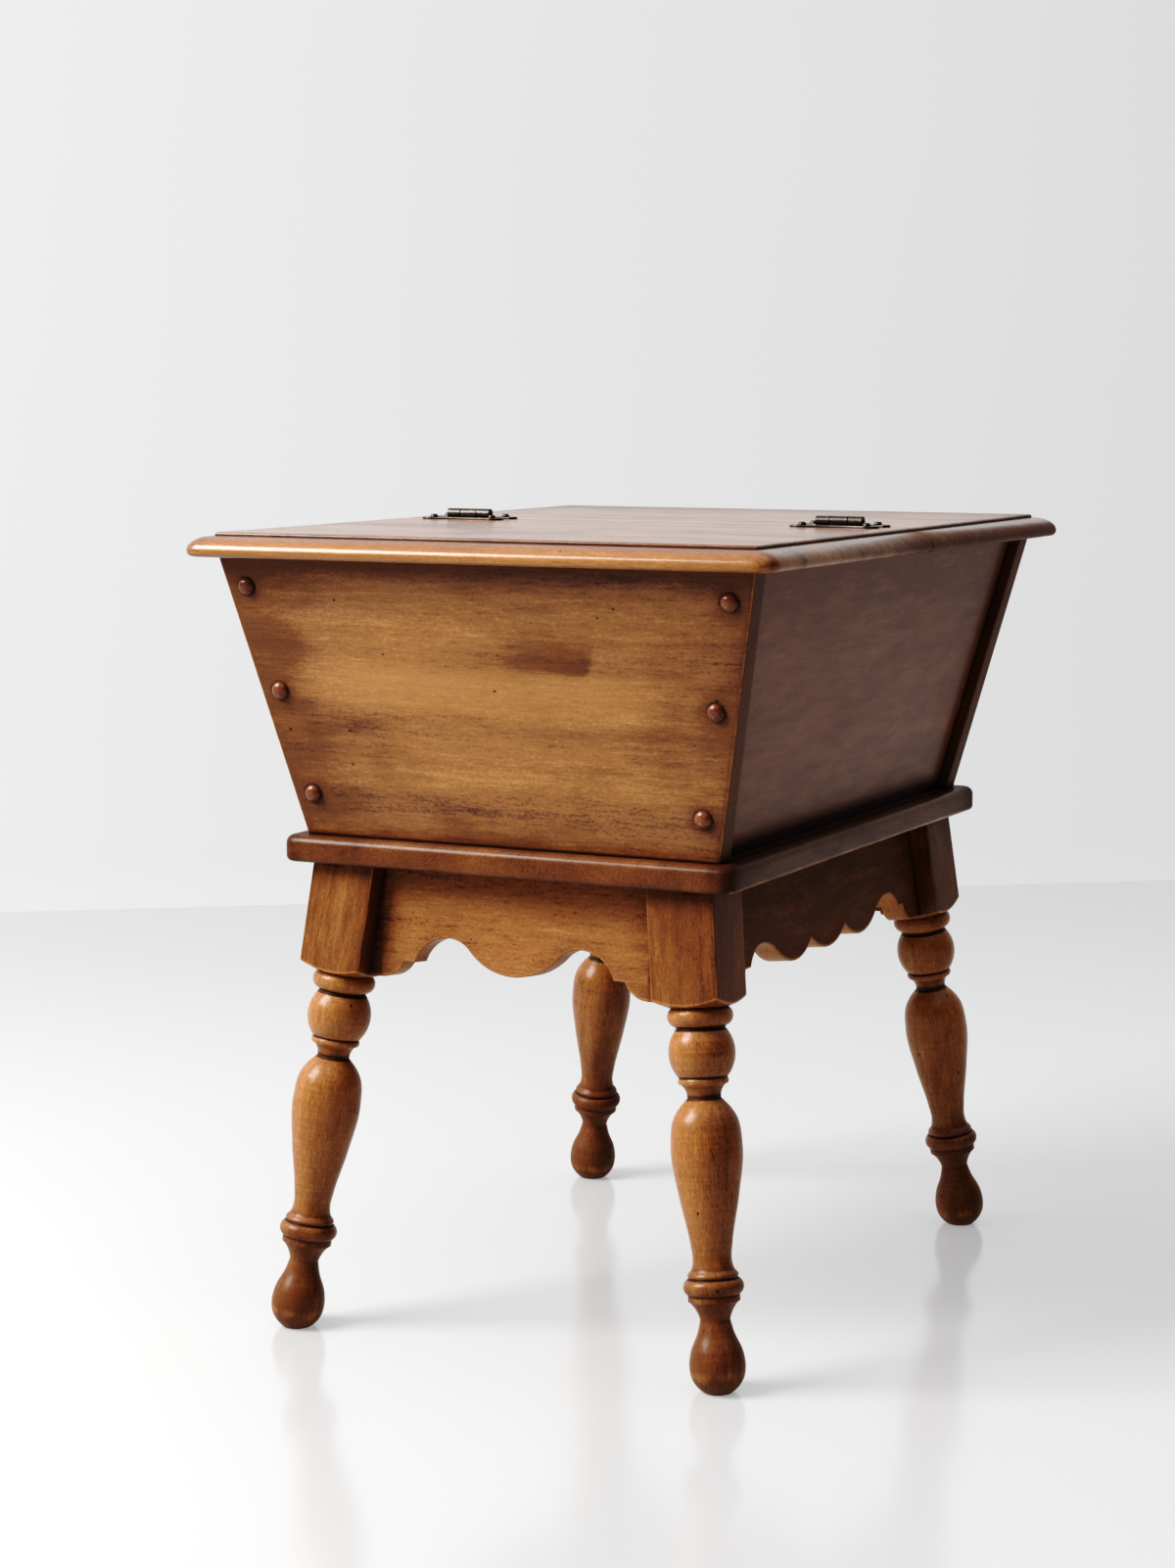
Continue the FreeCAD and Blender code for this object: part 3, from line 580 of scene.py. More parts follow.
def shader_group(name, vectors, colours, values, results):
    """A new node group with named sockets, whose first result is a colour. Returns its nodes, what comes in
    and what goes out."""
    tree = bpy.data.node_groups.new(name, "ShaderNodeTree")
    sockets = (
        ("INPUT", "Vector", vectors), ("INPUT", "Color", colours), ("INPUT", "Float", values),
        ("OUTPUT", "Color", results[:1]), ("OUTPUT", "Float", results[1:]),
    )
    for side, kind, labels in sockets:
        for label in labels:
            tree.interface.new_socket(name=label, in_out=side, socket_type="NodeSocket" + kind)
    coming = tree.nodes.new("NodeGroupInput").outputs
    going = tree.nodes.new("NodeGroupOutput").inputs
    return Nodes(tree), coming, going


def maple_grain_group():
    """Broad bands, growth rings, fibres, grit and turning marks of maple in three stained tones."""
    nodes, coming, going = shader_group(
        "Maple Grain", ("Timber",), ("Pale", "Warm", "Deep"), ("Figure", "Turned"), ("Color", "Fibre")
    )
    timber = coming["Timber"]
    drift = nodes.noise(timber, 4, 11, 2, 0.5)
    heart = nodes.vector("ADD", timber, (0.0, 0.035, 0.060))
    heart = nodes.vector("LENGTH", nodes.stretched(heart, 0, 1), result="Value")
    ring_place = nodes.times(nodes.times_plus(drift, 0.030, heart), 330.0)
    rings = nodes.add("TexNoise", {"W": ring_place, "Scale": 1.0, "Detail": 2.0}, noise_dimensions="1D").outputs["Fac"]
    bands = nodes.noise(timber, 2.2, 26, 3, 0.55)
    fibres = nodes.noise(timber, 75, 560, 3, 0.7)
    strands = nodes.noise(timber, 16, 190, 3, 0.6)
    grit = nodes.noise(timber, 380, 620, 2, 0.7)
    turning = nodes.noise(timber, 560, 14, 2, 0.7)
    tone = nodes.times_plus(nodes.minus(bands, 0.5), 1.0, 0.5)
    tone = nodes.times_plus(nodes.times(nodes.minus(rings, 0.5), coming["Figure"]), 0.30, tone)
    for layer, share in ((strands, 0.34), (fibres, 0.80), (grit, 0.75)):
        tone = nodes.times_plus(nodes.minus(layer, 0.5), share, tone)
    tone = nodes.plus(tone, nodes.times(nodes.minus(turning, 0.5), coming["Turned"]))
    colour = nodes.blend(nodes.rise(tone, 0.05, 0.48), coming["Deep"], coming["Warm"])
    colour = nodes.blend(nodes.rise(tone, 0.46, 0.86), colour, coming["Pale"])
    return nodes.close(going, {"Color": colour, "Fibre": fibres})


def aged_finish_group():
    """Uneven stain, smudges, specks, grime in grooves and worn arrises over a wood colour, with the painted shade and
    highlights that the marks carry.
    """
    nodes, coming, going = shader_group(
        "Aged Finish", ("Timber", "Marks"), ("Color", "Deep", "Pale", "Worn", "Grime"), ("Smudges", "Specks"),
        ("Color", "Dull", "Relief"),
    )
    timber, wood, smudges = coming["Timber"], coming["Color"], coming["Smudges"]
    marks = nodes.parts(coming["Marks"])
    cloud = nodes.noise(timber, 9, 15, 4, 0.6)
    ragged = nodes.noise(timber, 25, 100, 4, 0.6)
    fine = nodes.noise(timber, 240, 520, 3, 0.65)
    # Darker and paler stain, with the painted shade and light that the tone mark carries
    smudge = nodes.times(nodes.rise(cloud, 0.50, 0.72), smudges)
    blotch = nodes.times(nodes.times(nodes.rise(ragged, 0.53, 0.68), 0.35), smudges)
    unevenly = nodes.times_plus(ragged, 1.9, 0.05)
    toned = nodes.plus(nodes.times(nodes.most(marks["Z"], 0.0), unevenly), nodes.plus(smudge, blotch))
    toned = nodes.least(toned, 1.5)
    lightened = nodes.times(nodes.most(nodes.times(marks["Z"], -1.0), 0.0), unevenly)
    darker_stain_and_shade = nodes.blend(1.0, wood, (0.50, 0.46, 0.49, 1.0), "MULTIPLY")
    colour = nodes.blend(nodes.least(toned, 1.0), wood, darker_stain_and_shade)
    colour = nodes.blend(nodes.most(nodes.minus(toned, 1.0), 0.0), colour, coming["Deep"])
    colour = nodes.blend(nodes.least(lightened, 0.9), colour, nodes.blend(0.45, colour, coming["Pale"]))
    # Specks and flecks
    dots = nodes.add("TexVoronoi", {"Vector": nodes.stretched(timber, 62, 88), "Scale": 1.0}).outputs
    chosen = nodes.parts(dots["Color"])
    dot_size = nodes.times_plus(chosen["Y"], 0.06, 0.035)
    dot = nodes.times(nodes.under(dots["Distance"], dot_size), nodes.under(chosen["X"], coming["Specks"]))
    colour = nodes.blend(nodes.times(dot, 0.85), colour, coming["Grime"])
    flecks = nodes.rise(nodes.noise(timber, 70, 480, 3, 0.6), 0.60, 0.74)
    colour = nodes.blend(nodes.times(flecks, 0.26), colour, coming["Deep"])
    # Grime in the grooves and painted shade from the grime mark, and wear on the arrises, in places a painted highlight
    grime = nodes.rise(nodes.minus(nodes.times(marks["Y"], 2.1), nodes.times(ragged, 0.75)), -0.05, 0.75)
    colour = nodes.blend(nodes.times(grime, 0.88), colour, coming["Grime"])
    wear = nodes.minus(nodes.times(marks["X"], 1.5), nodes.times(ragged, 1.25))
    wear = nodes.rise(nodes.minus(wear, nodes.times(fine, 0.35)), 0.0, 0.7)
    colour = nodes.blend(nodes.times(wear, 0.6), colour, coming["Worn"])
    dull = nodes.times_plus(cloud, 0.55, nodes.times(ragged, 0.35))
    dull_marks = (
        (grime, 0.5), (nodes.rise(marks["Z"], 0.4, 1.6), 0.6), (nodes.least(marks["Y"], 0.0), 0.33), (fine, 0.15)
    )
    for mark, share in dull_marks:
        dull = nodes.times_plus(mark, share, dull)
    relief = nodes.times_plus(fine, 0.25, nodes.times_plus(dot, -1.0, nodes.times(ragged, 0.5)))
    return nodes.close(going, {"Color": colour, "Dull": dull, "Relief": relief})


def antique_metal_group():
    """Tarnished metal, rubbed bright along its edges."""
    nodes, coming, going = shader_group(
        "Antique Metal", ("Place", "Marks"), ("Tarnish", "Rubbed"), ("Wear",), ("Color", "Roughness", "Relief")
    )
    cloud = nodes.noise(coming["Place"], 320, 320, 4, 0.65)
    pits = nodes.noise(coming["Place"], 1700, 1700, 3, 0.6)
    rubbed = nodes.times(nodes.rise(cloud, 0.5, 0.75), 0.5)
    rubbed = nodes.times_plus(nodes.parts(coming["Marks"])["X"], 1.3, rubbed)
    rubbed = nodes.rise(nodes.minus(rubbed, nodes.times(pits, 0.5)), 0.1, 0.9)
    rubbed = nodes.times(rubbed, coming["Wear"])
    return nodes.close(going, {
        "Color": nodes.blend(rubbed, coming["Tarnish"], coming["Rubbed"]),
        "Roughness": nodes.times_plus(cloud, 0.12, nodes.times_plus(rubbed, -0.08, 0.30)),
        "Relief": nodes.times_plus(pits, 0.6, cloud),
    })


def new_material(name):
    material = bpy.data.materials.new(name)
    material.use_nodes = True
    return material, Nodes(material.node_tree), material.node_tree.nodes["Principled BSDF"].inputs


def group_outputs(nodes, name, maker, inputs):
    """What a shared node group gives for these inputs."""
    tree = bpy.data.node_groups.get(name) or maker()
    return nodes.add("Group", inputs, node_tree=tree).outputs


def piece_places(nodes, shaped, lengthwise=False):
    """Places in the wood and finish marks of a shaped piece, or plain places of a CAD node, whose grain runs
    along X, or lengthwise along Y."""
    if shaped:
        return [nodes.add("Attribute", attribute_name=name, attribute_type="GEOMETRY").outputs["Vector"]
                for name in ("timber", "marks")]
    place = nodes.add("TexCoord").outputs["Object"]
    if lengthwise:
        parts = nodes.parts(place)
        place = nodes.add("CombineXYZ", {0: parts["Y"], 1: parts["X"], 2: parts["Z"]}).outputs[0]
    return place, (0.0, 0.0, 0.0)


def wood_tones(wood):
    """The pale, warm and deep stain of a wood."""
    return [getattr(bpy.context.scene.dough_box.finish, f"{wood}_{tone}") for tone, which in TONES]


def maple(name, tones, coat, rough=(0.30, 0.62), figure=1.0, smudges=0.5, specks=0.35, shaped=True,
          lengthwise=False, turned=0.0, block=0.0, relief=0.35, coat_rough=0.2, shine=0.2, patchy=0.6):
    """Stained maple under a rubbed clear coat. The tones are its pale, warm and deep colour.
    A turned piece has turning marks below its square block, and none where it is square."""
    finish = bpy.context.scene.dough_box.finish
    material, nodes, shader = new_material(name)
    timber, marks = piece_places(nodes, shaped, lengthwise)
    pale, warm, deep = [(*tone, 1.0) for tone in tones]
    if block:
        along = nodes.calculate("WRAP", nodes.parts(timber)["X"], PIECE_APART, 0.0)
        turned = nodes.times(nodes.under(along, PIECE_APART - block), turned)
    wood = group_outputs(nodes, "Maple Grain", maple_grain_group, {
        "Timber": timber, "Pale": pale, "Warm": warm, "Deep": deep, "Figure": figure, "Turned": turned,
    })
    aged = group_outputs(nodes, "Aged Finish", aged_finish_group, {
        "Color": wood["Color"], "Timber": timber, "Marks": marks, "Deep": deep, "Pale": pale,
        "Worn": (*finish.worn, 1.0), "Grime": (*finish.grime, 1.0), "Smudges": smudges, "Specks": specks,
    })
    dull = aged["Dull"]
    height = nodes.times_plus(wood["Fibre"], 0.30, aged["Relief"])
    looks = {
        "Base Color": aged["Color"], "Normal": nodes.bump(relief, 0.12 * MM, height),
        "Roughness": nodes.add("MapRange", {"Value": dull, "To Min": rough[0], "To Max": rough[1]}).outputs[0],
        "Coat Roughness": coat_rough, "Specular IOR Level": shine,
    }
    if coat:
        gloss = {
            "Value": dull, "From Min": 0.05, "From Max": 0.95,
            "To Min": coat * (0.9 + patchy), "To Max": coat * (0.9 - patchy),
        }
        looks["Coat Weight"] = nodes.add("MapRange", gloss).outputs[0]
    nodes.close(shader, looks)
    return material


def antique_metal(name, bright, wear, shaped=True):
    """Tarnished hinge metal with rubbed edges."""
    finish = bpy.context.scene.dough_box.finish
    material, nodes, shader = new_material(name)
    place, marks = piece_places(nodes, shaped)
    metal = group_outputs(nodes, "Antique Metal", antique_metal_group, {
        "Place": place, "Marks": marks, "Tarnish": (*finish.tarnish, 1.0), "Rubbed": (*bright, 1.0), "Wear": wear,
    })
    nodes.close(shader, {
        "Base Color": metal["Color"], "Roughness": metal["Roughness"], "Metallic": 0.9,
        "Normal": nodes.bump(0.4, 0.08 * MM, metal["Relief"]),
    })
    return material


def dress(name, material):
    """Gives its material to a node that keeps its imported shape."""
    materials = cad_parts[name].data.materials
    materials.clear()
    materials.append(material)


# The box
def case_half(height, case):
    """Half the width and length of the box at a height."""
    return BOX_TOP_HALF - DIAGONAL * (BOX_TOP - height) * math.tan(case.lean)


def wall_rows():
    """Heights up a wall with the inset of its rims."""
    rim, rows_up = 0.4 * MM, 84
    rows = [(BOX_BOTTOM, rim), (BOX_BOTTOM + rim, 0.0)]
    rows += [(BOX_BOTTOM + rim + (BOX_TOP - BOX_BOTTOM - 2 * rim) * t, 0.0) for t in steps(rows_up)[1:-1]]
    return rows + [(BOX_TOP - rim, 0.0), (BOX_TOP, rim)]


def patches(across, up, shares):
    """Sum of the soft patches of stain at a place."""
    return sum(strength * near(across - x, wide) * near(up - z, tall) for x, z, wide, tall, strength in shares)


def end_stain(across, up, front):
    """Tone over an end board: a paler band over its middle, and the smudges of the front board."""
    middle = max(0.0, 1 - abs(across - 0.05) ** 3 * 1.5)
    band_bottom, band_top = 0.455, 0.63 - 0.012 * across
    band = edged(band_top - up, 0.007) * edged(up - band_bottom, 0.02)
    tone = patches(across, up, SHARED_PATCH_SHARES) - (0.9 * band + 0.30 * near(up - 0.36, 0.05)) * middle
    if front:
        # A dark wedge with a sharp foot and a sharp right end that slants
        foot, end = 0.628, 0.40
        left_of, above = min(0.0, across - 0.385), max(0.0, up - 0.63)
        wedge = 1.35 * near(left_of, 0.15) * near(above, 0.09) + 0.4 * near(left_of, 0.42) * near(above, 0.045)
        slant = edged(end + 0.3 * (up - foot) - across, 0.006)
        tone += patches(across, up, FRONT_SMUDGE_SHARES) + wedge * edged(up - foot, 0.005) * slant
    return tone


def end_board(case, front):
    """An end board, drawn at the front. The front one has its smudges and a painted shadow of the lid along its top."""
    run = case.end_thickness / math.cos(case.lean)
    pegs = [(place.translation.x, place.translation.z) for place in peg_places(case) if place.translation.x > 0]
    rings = []
    for height, rim in wall_rows():
        half = case_half(height, case)
        low, high = Vector((-half.x + rim, -half.y + rim)), Vector((half.x - rim, -half.y + run - rim))
        ring = []
        for point in rounded_ring(low, high, case.arris, height, corner_steps=4, side_steps=(5, 150)):
            across, up = point.x / half.x, (height - BOX_BOTTOM) / (BOX_TOP - BOX_BOTTOM)
            edge, behind = half.x - abs(point.x), point.y + half.y
            to_corner = math.hypot(edge, behind)
            # Darker towards the borders: toned edges, and at the top painted shadow of the lid
            border = min(edge * 0.8, (BOX_TOP - height) * 0.9, (height - BOX_BOTTOM) * 2.2)
            tone = 0.25 + 0.75 * math.exp(-border / (15 * MM)) + 0.4 * near(across + 0.95, 0.25)
            tone += end_stain(across, up, front)
            # On the front board, a deeper painted shadow of the lid along the top
            if front:
                tone += 0.8 * near(BOX_TOP - height, 7 * MM)
            outer = near(behind, run * 0.5)
            grimy = 0.55 * near(height - BOX_BOTTOM, 2.2 * MM)
            for peg_x, peg_z in pegs:
                apart = math.hypot(abs(point.x) - peg_x, (height - peg_z) / math.cos(case.lean))
                apart = max(0.0, apart - case.peg_diameter / 2)
                grimy = max(grimy, 0.50 * near(apart, 1.8 * MM) * outer)
                # Painted shade in a soft halo round each peg
                tone += 0.6 * near(apart, 6 * MM)
            # Painted shade on the edge faces and in the recess beside the side board
            recess = near(max(0.0, edge - case.side_recess), 1.5 * MM) * (1 - outer)
            tone = tone * outer + 1.15 * near(edge, 2 * MM) * (1 - near(to_corner, 1.2 * MM)) + 1.4 * recess
            ring.append((point, (near(to_corner, 1.5 * MM), grimy, tone)))
        rings.append(ring)
    return Blank(rings)


def side_board(case):
    """The right side board, between the end boards, with painted shade over it that deepens towards its ends, its top
    and its foot.
    """
    end_run, run = case.end_thickness / math.cos(case.lean), case.side_thickness / math.cos(case.lean)
    rings = []
    for height, rim in wall_rows():
        half = case_half(height, case)
        outer, ends = half.x - case.side_recess, half.y - end_run
        low, high = Vector((outer - run + rim, -ends)), Vector((outer - rim, ends))
        ring = []
        for point in rounded_ring(low, high, 0.4 * MM, height, corner_steps=2, side_steps=(48, 3)):
            corner = ends - abs(point.y)
            border = min(corner, (BOX_TOP - height) * 0.7, height - BOX_BOTTOM)
            # Painted shade: the whole board darker, more so towards its ends, its top and its foot
            tone = 0.68 + 0.6 * math.exp(-border / (16 * MM))
            # More painted shade, dark by the end boards and along the foot, in the grime mark
            grimy = 0.75 * max(near(corner, 3 * MM), near(height - BOX_BOTTOM, 9 * MM))
            ring.append((point, (0.0, grimy, tone * near(outer - point.x, run * 0.5))))
        rings.append(ring)
    return Blank(rings)


def peg(case):
    """A peg, drawn with its dome down and its shank up."""
    head, shank, axis = case.peg_diameter / 2, case.peg_shank / 2, 0.25 * MM
    tip = case.end_thickness + case.peg_grip
    dome = quarter((axis, -case.peg_proud), (head, -case.peg_proud), (head, 0), 14)
    line = joined(dome, [(shank, 0), (shank, tip), (axis, tip)])
    rings = []
    for point, bend in zip(line, bends(line, 1.2 * MM)):
        rim = 0.45 * near(point.y, 0.9 * MM) if point.y < MM else 0.0
        mark = (max(0.0, bend) * 0.25, rim, 0.0)
        rings.append([(spot(angle, point.x, point.y), mark) for angle in circle(32)])
    return Blank(rings)


def peg_places(case):
    """Where the pegs of the front end board go."""
    into_board = Matrix.Rotation(case.lean - QUARTER_TURN, 4, "X")
    inset = case.side_recess + case.side_thickness / math.cos(case.lean) / 2
    lowest, highest = BOX_BOTTOM + case.peg_from_bottom, BOX_TOP - case.peg_from_top
    places = []
    for t in steps(case.peg_count - 1):
        height = lowest + (highest - lowest) * t
        half = case_half(height, case)
        for side in (-1, 1):
            places.append(Matrix.Translation((side * (half.x - inset), -half.y, height)) @ into_board)
    return places


def end_pegs(case):
    """All pegs of one end board."""
    blank = Blank()
    for place in peg_places(case):
        blank.add(peg(case).placed(place))
    return blank


def base_board(case):
    """The moulded base board, which is the floor of the box."""
    lower, upper = case.base_lower, case.base_upper
    bottom, top = base_low.z, base_high.z
    line = joined(
        [(-40 * MM, bottom), (-12 * MM, bottom)],
        quarter((-lower, bottom), (0, bottom), (0, bottom + lower), 8),
        quarter((0, top - upper), (0, top), (-upper, top), 10),
        [(-inset * MM, top) for inset in (9, 12, 18, 40)],
    )
    rings = []
    for point, bend in zip(line, bends(line, 2.6 * MM)):
        high = Vector((base_high.x, base_high.y)) + DIAGONAL * point.x
        grimy = 0.75 * near(-point.x - 13.8 * MM, 3.0 * MM) if point.y == top else 0.0
        ring = []
        radius = case.base_corner + point.x
        for place in rounded_ring(-high, high, radius, point.y, corner_steps=8, side_steps=(40, 28)):
            from_side, from_end = high.x - abs(place.x), high.y - abs(place.y)
            corner = math.hypot(from_side, from_end)
            # Darker towards the corners, and painted shade on the side faces
            tone = 0.8 * near(corner, 16 * MM) + 0.35 * near(corner, 60 * MM) + 0.5 * near(from_side, 3 * MM)
            at_end = abs(place.y) / high.y > abs(place.x) / high.x
            rubbed = 0.6 if point.y > (bottom + top) / 2 else 0.45 if at_end else 1.2
            ring.append((place, (max(0.0, bend) * rubbed, grimy, tone)))
        rings.append(ring)
    return Blank(rings)


# The top
def leaf_ring(top, inset, height, seam, side):
    """A level ring round one leaf: from the seam round the outer edge and back to the seam."""
    side_steps, end_steps, corner_steps = 36, 56, 10
    half = TOP_HALF - DIAGONAL * inset
    radius = max(top.corner_radius - inset, 0.3 * MM)
    across, reach = half.x - radius, half.y - radius
    run = reach - abs(seam)

    def corner(x, first):
        return [Vector((x, reach)) + radius * toward(first + QUARTER_TURN * t) for t in steps(corner_steps)]

    points = [Vector((half.x, abs(seam) + run * t)) for t in steps(side_steps)[:-1]]
    points += corner(across, 0)
    points += [Vector((across - 2 * across * t, half.y)) for t in steps(end_steps)[1:-1]]
    points += corner(-across, QUARTER_TURN)
    points += [Vector((-half.x, reach - run * t)) for t in steps(side_steps)[1:]]
    return [Vector((point.x, point.y * side, height)) for point in points]


def top_leaf(top, bottom, seam, side):
    """Half of the top, with its thumbnail edge on three sides and a square seam. The polish of the edge starts
    at the right end of the seam and soon is as high as it gets."""
    ledge = TOP_FACE - top.field_step
    under, field = top.under_radius, top.field_inset
    line = joined(
        [(-60 * MM, bottom), (-20 * MM, bottom)],
        quarter((-under, bottom), (0, bottom), (0, bottom + under), 8),
        quarter((0, bottom + under), (0, ledge), (-field, ledge), 18),
        quarter((-field, TOP_FACE - 1.4 * MM), (-field, TOP_FACE), (-field - 1.5 * MM, TOP_FACE), 5),
        [(-field - inset * MM, TOP_FACE) for inset in (2.2, 3.5, 7, 14, 42, 90, 140)],
    )
    line = softened(line, 0.7 * MM)
    rings = []
    for point, bend in zip(line, bends(line, 1.7 * MM)):
        to_field = point.x + field
        # Wear along the arrises; the wear at the step of the field paints a highlight line
        worn, groove = max(0.0, bend) * (0.85 if point.x > -field / 2 else 0.4), max(0.0, -bend) * 0.8
        polish = 0.9 * near(to_field, 8 * MM) if groove < 0.02 else 0.0
        ring = []
        for number, place in enumerate(leaf_ring(top, -point.x, point.y, seam, side), 1):
            if to_field < 0:
                grimy = groove or -1.0
                tone = 0.35 + 0.3 * near(to_field, 14 * MM) + 0.5 * near(TOP_HALF.y - place.y, 120 * MM)
            else:
                grimy = groove - polish * number
                corner = math.hypot(TOP_HALF.x - abs(place.x), TOP_HALF.y - abs(place.y))
                tone = 0.9 * near(corner, 12 * MM) + 0.8 * near(to_field, 11 * MM)
                tone += 0.7 * near(place.x + TOP_HALF.x, 22 * MM)
                tone += 0.5 * near(to_field, 11 * MM) * edged(place.x - 50 * MM, 30 * MM)
                end_nose = abs(place.y) > abs(place.x) * TOP_HALF.y / TOP_HALF.x
                side_tone = 1.6 * min(1.0, (0.5 + 0.5 * place.y / TOP_HALF.y) * 1.7) - 0.2
                tone += -0.85 * near(point.x, 8 * MM) if end_nose else side_tone * near(point.x, 15 * MM)
            ring.append((place, (worn, grimy, tone)))
        rings.append(ring)
    return Blank(rings)


# The stand
def leg_lean(stand):
    """Places what is drawn down the upright axis as the leg at the front and the right."""
    x = base_high.x - stand.set_in_x - stand.stock / 2
    y = base_high.y - stand.set_in_y - stand.stock / 2
    lean = Matrix.Rotation(-stand.splay, 4, "X") @ Matrix.Rotation(-stand.splay, 4, "Y")
    return Matrix.Translation((x, -y, STAND_TOP)) @ lean


def turned_profile(stand):
    """Radius and height of the turned part, from the foot up to the shoulder."""
    turning = STAND_TOP / math.cos(stand.splay) ** 2 - stand.block
    half = stand.stock / 2

    def points(shares):
        return [Vector((radius * half, -stand.block - place * turning)) for place, radius in shares]

    line = joined(
        arc(*points(RING_SHARES), 14), arc(*points(BALL_SHARES), 34), arc(*points(COLLAR_SHARES), 8),
        arc(*points(UPPER_COVE_SHARES), 10), smooth_curve(points(VASE_SHARES), 10),
        arc(*points(LOWER_RING_SHARES), 14), points(FILLET_SHARES), arc(*points(LOWER_COVE_SHARES), 12),
        smooth_curve(points(PEAR_SHARES), 10),
    )
    return refined(softened(line, 0.5 * MM), 1.3 * MM)[::-1]


def square_reach(angle, half, arris):
    """From the axis to the rounded square of the block, in a direction."""
    folded = abs((angle + math.pi / 4) % QUARTER_TURN - math.pi / 4)
    corner = half - arris
    if math.tan(folded) <= corner / half:
        return half / math.cos(folded)
    along = corner * (math.cos(folded) + math.sin(folded))
    return along + math.sqrt(max(0.0, along ** 2 - 2 * corner ** 2 + arris ** 2))


def leg_directions(half, arris):
    """Directions round a leg, closer together at the arrises of its block."""
    flat = math.atan((half - arris) / half)
    side = [-flat + 2 * flat * t for t in steps(26)]
    side += [flat + (QUARTER_TURN - 2 * flat) * t for t in steps(4)[1:-1]]
    return [quarters * QUARTER_TURN + angle for quarters in range(4) for angle in side]


def leg(stand, painted_shade):
    """A leg from its foot up to the top of its square block, drawn down the upright axis."""
    half = stand.stock / 2
    neck = RING_SHARES[0][1] * half
    soft, above = 0.7 * MM, 8 * MM
    scuffed, clean_neck, lower_cove, lower_ring = 13 * MM, 56 * MM, 70 * MM, 95 * MM
    slope = stand.shoulder_rise / (half * math.sqrt(2) - neck)
    directions = leg_directions(half, stand.arris)
    profile = turned_profile(stand)
    rings = []
    for point, bend in zip(profile, bends(profile, 2.2 * MM)):
        rise = point.y - profile[0].y
        tone = painted_shade + 0.75 * edged(lower_ring - rise, 12 * MM) + 0.35 * edged(lower_cove - rise, 2.5 * MM)
        tone += 0.3 * near(rise, 5 * MM)
        worn = max(max(0.0, bend) * 0.5, 0.70 * near(rise - scuffed, 8 * MM))
        grimy = max(0.0, -bend) * 1.15 * (1 - 0.9 * near(rise - clean_neck, 7 * MM))
        rings.append([(spot(angle, point.x, point.y), (worn, grimy, tone)) for angle in directions])

    def shoulder(radius):
        share = (radius - neck) / (stand.stock - neck)
        return -stand.block + (radius - neck) * slope - stand.shoulder_bulge * 4 * share * (1 - share)

    def across_shoulder(angle, reach, t):
        radius = neck + (reach - soft - neck) * t
        return spot(angle, radius, shoulder(radius)), (0.0, 0.8 * near(radius - neck, 2 * MM), 0.3 + painted_shade)

    def round_rim(angle, reach, t):
        start = Vector((reach - soft, shoulder(reach - soft)))
        corner = Vector((reach, shoulder(reach)))
        end = Vector((reach, shoulder(reach) + soft))
        point = start.lerp(corner, t).lerp(corner.lerp(end, t), t)
        return spot(angle, point.x, point.y), (0.7, 0.0, 0.0)

    def up_block(angle, reach, t):
        low = shoulder(reach) + soft
        place = spot(angle, reach, low + (above - low) * t)
        from_side, from_front = half - abs(place.x), half - abs(place.y)
        worn = max(near(math.hypot(from_side, from_front), 1.7 * MM), 0.7 * near(place.z - low, 1.2 * MM))
        # Painted shade at the top of the block and on its side faces
        tone = 0.75 + 0.5 * near(place.z, 8 * MM) + 0.35 * near(from_side, 2 * MM)
        return place, (worn * 0.8, 0.0, tone + painted_shade)

    reaches = [square_reach(angle, half, stand.arris) for angle in directions]
    sections = (
        (across_shoulder, (0.1, 0.3, 0.55, 0.8)), (round_rim, (0.0, 0.35, 0.7, 1.0)),
        (up_block, [0.012, 0.03] + steps(16)[1:]),
    )
    for section, shares in sections:
        for t in shares:
            rings.append([section(angle, reach, t) for angle, reach in zip(directions, reaches)])
    return Blank(rings)


def cut_level(made, low, high):
    """Cuts an object flat at two heights and closes the cuts."""
    shaped = bmesh.new()
    shaped.from_mesh(made.data)
    for height, normal in ((low, -UP), (high, UP)):
        everything = shaped.verts[:] + shaped.edges[:] + shaped.faces[:]
        bmesh.ops.bisect_plane(shaped, geom=everything, plane_co=UP * height, plane_no=normal, clear_outer=True)
        bmesh.ops.holes_fill(shaped, edges=[edge for edge in shaped.edges if edge.is_boundary], sides=0)
    bmesh.ops.recalc_face_normals(shaped, faces=shaped.faces)
    shaped.to_mesh(made.data)
    shaped.free()


def level_start(low, high):
    """Radius of an arc that starts level at one point and climbs to another."""
    run, rise = abs(high.x - low.x), abs(high.y - low.y)
    return (run * run + rise * rise) / (2 * rise)


def apron_outline(shares, half, depth):
    """Lower edge of one half of an apron, from its middle out."""
    def point(x_share, depth_share):
        return Vector((x_share * half, -depth_share * depth))

    up = Vector((0, 1))
    drop, arch, arch_end = point(*shares["drop"]), point(*shares["arch"]), point(*shares["arch_end"])
    step, bracket = point(shares["step"], shares["arch_end"][1]), point(shares["bracket"], 1.0)
    radii = level_start(drop, arch)
    drop_middle = drop + up * radii * shares["drop_radius"]
    arch_middle = arch - up * radii * (1 - shares["drop_radius"])
    meet = drop_middle + (arch_middle - drop_middle) * shares["drop_radius"]
    stretches = []
    if shares["cusp"]:
        cusp = point(*shares["cusp"])
        lobe = Vector((0, drop.y))
        stretches += [
            arc_about(lobe + up * level_start(lobe, cusp), lobe, cusp, 26),
            arc_about(drop + up * level_start(drop, cusp), cusp, drop, 24),
        ]
    stretches += [
        arc_about(drop_middle, drop, meet, 20), arc_about(arch_middle, meet, arch, 20),
        arc_about(arch - up * level_start(arch, arch_end), arch, arch_end, 22), [step],
        arc_about(bracket + up * level_start(bracket, step), step, bracket, 18),
    ]
    return refined(joined(*stretches), 2.5 * MM)


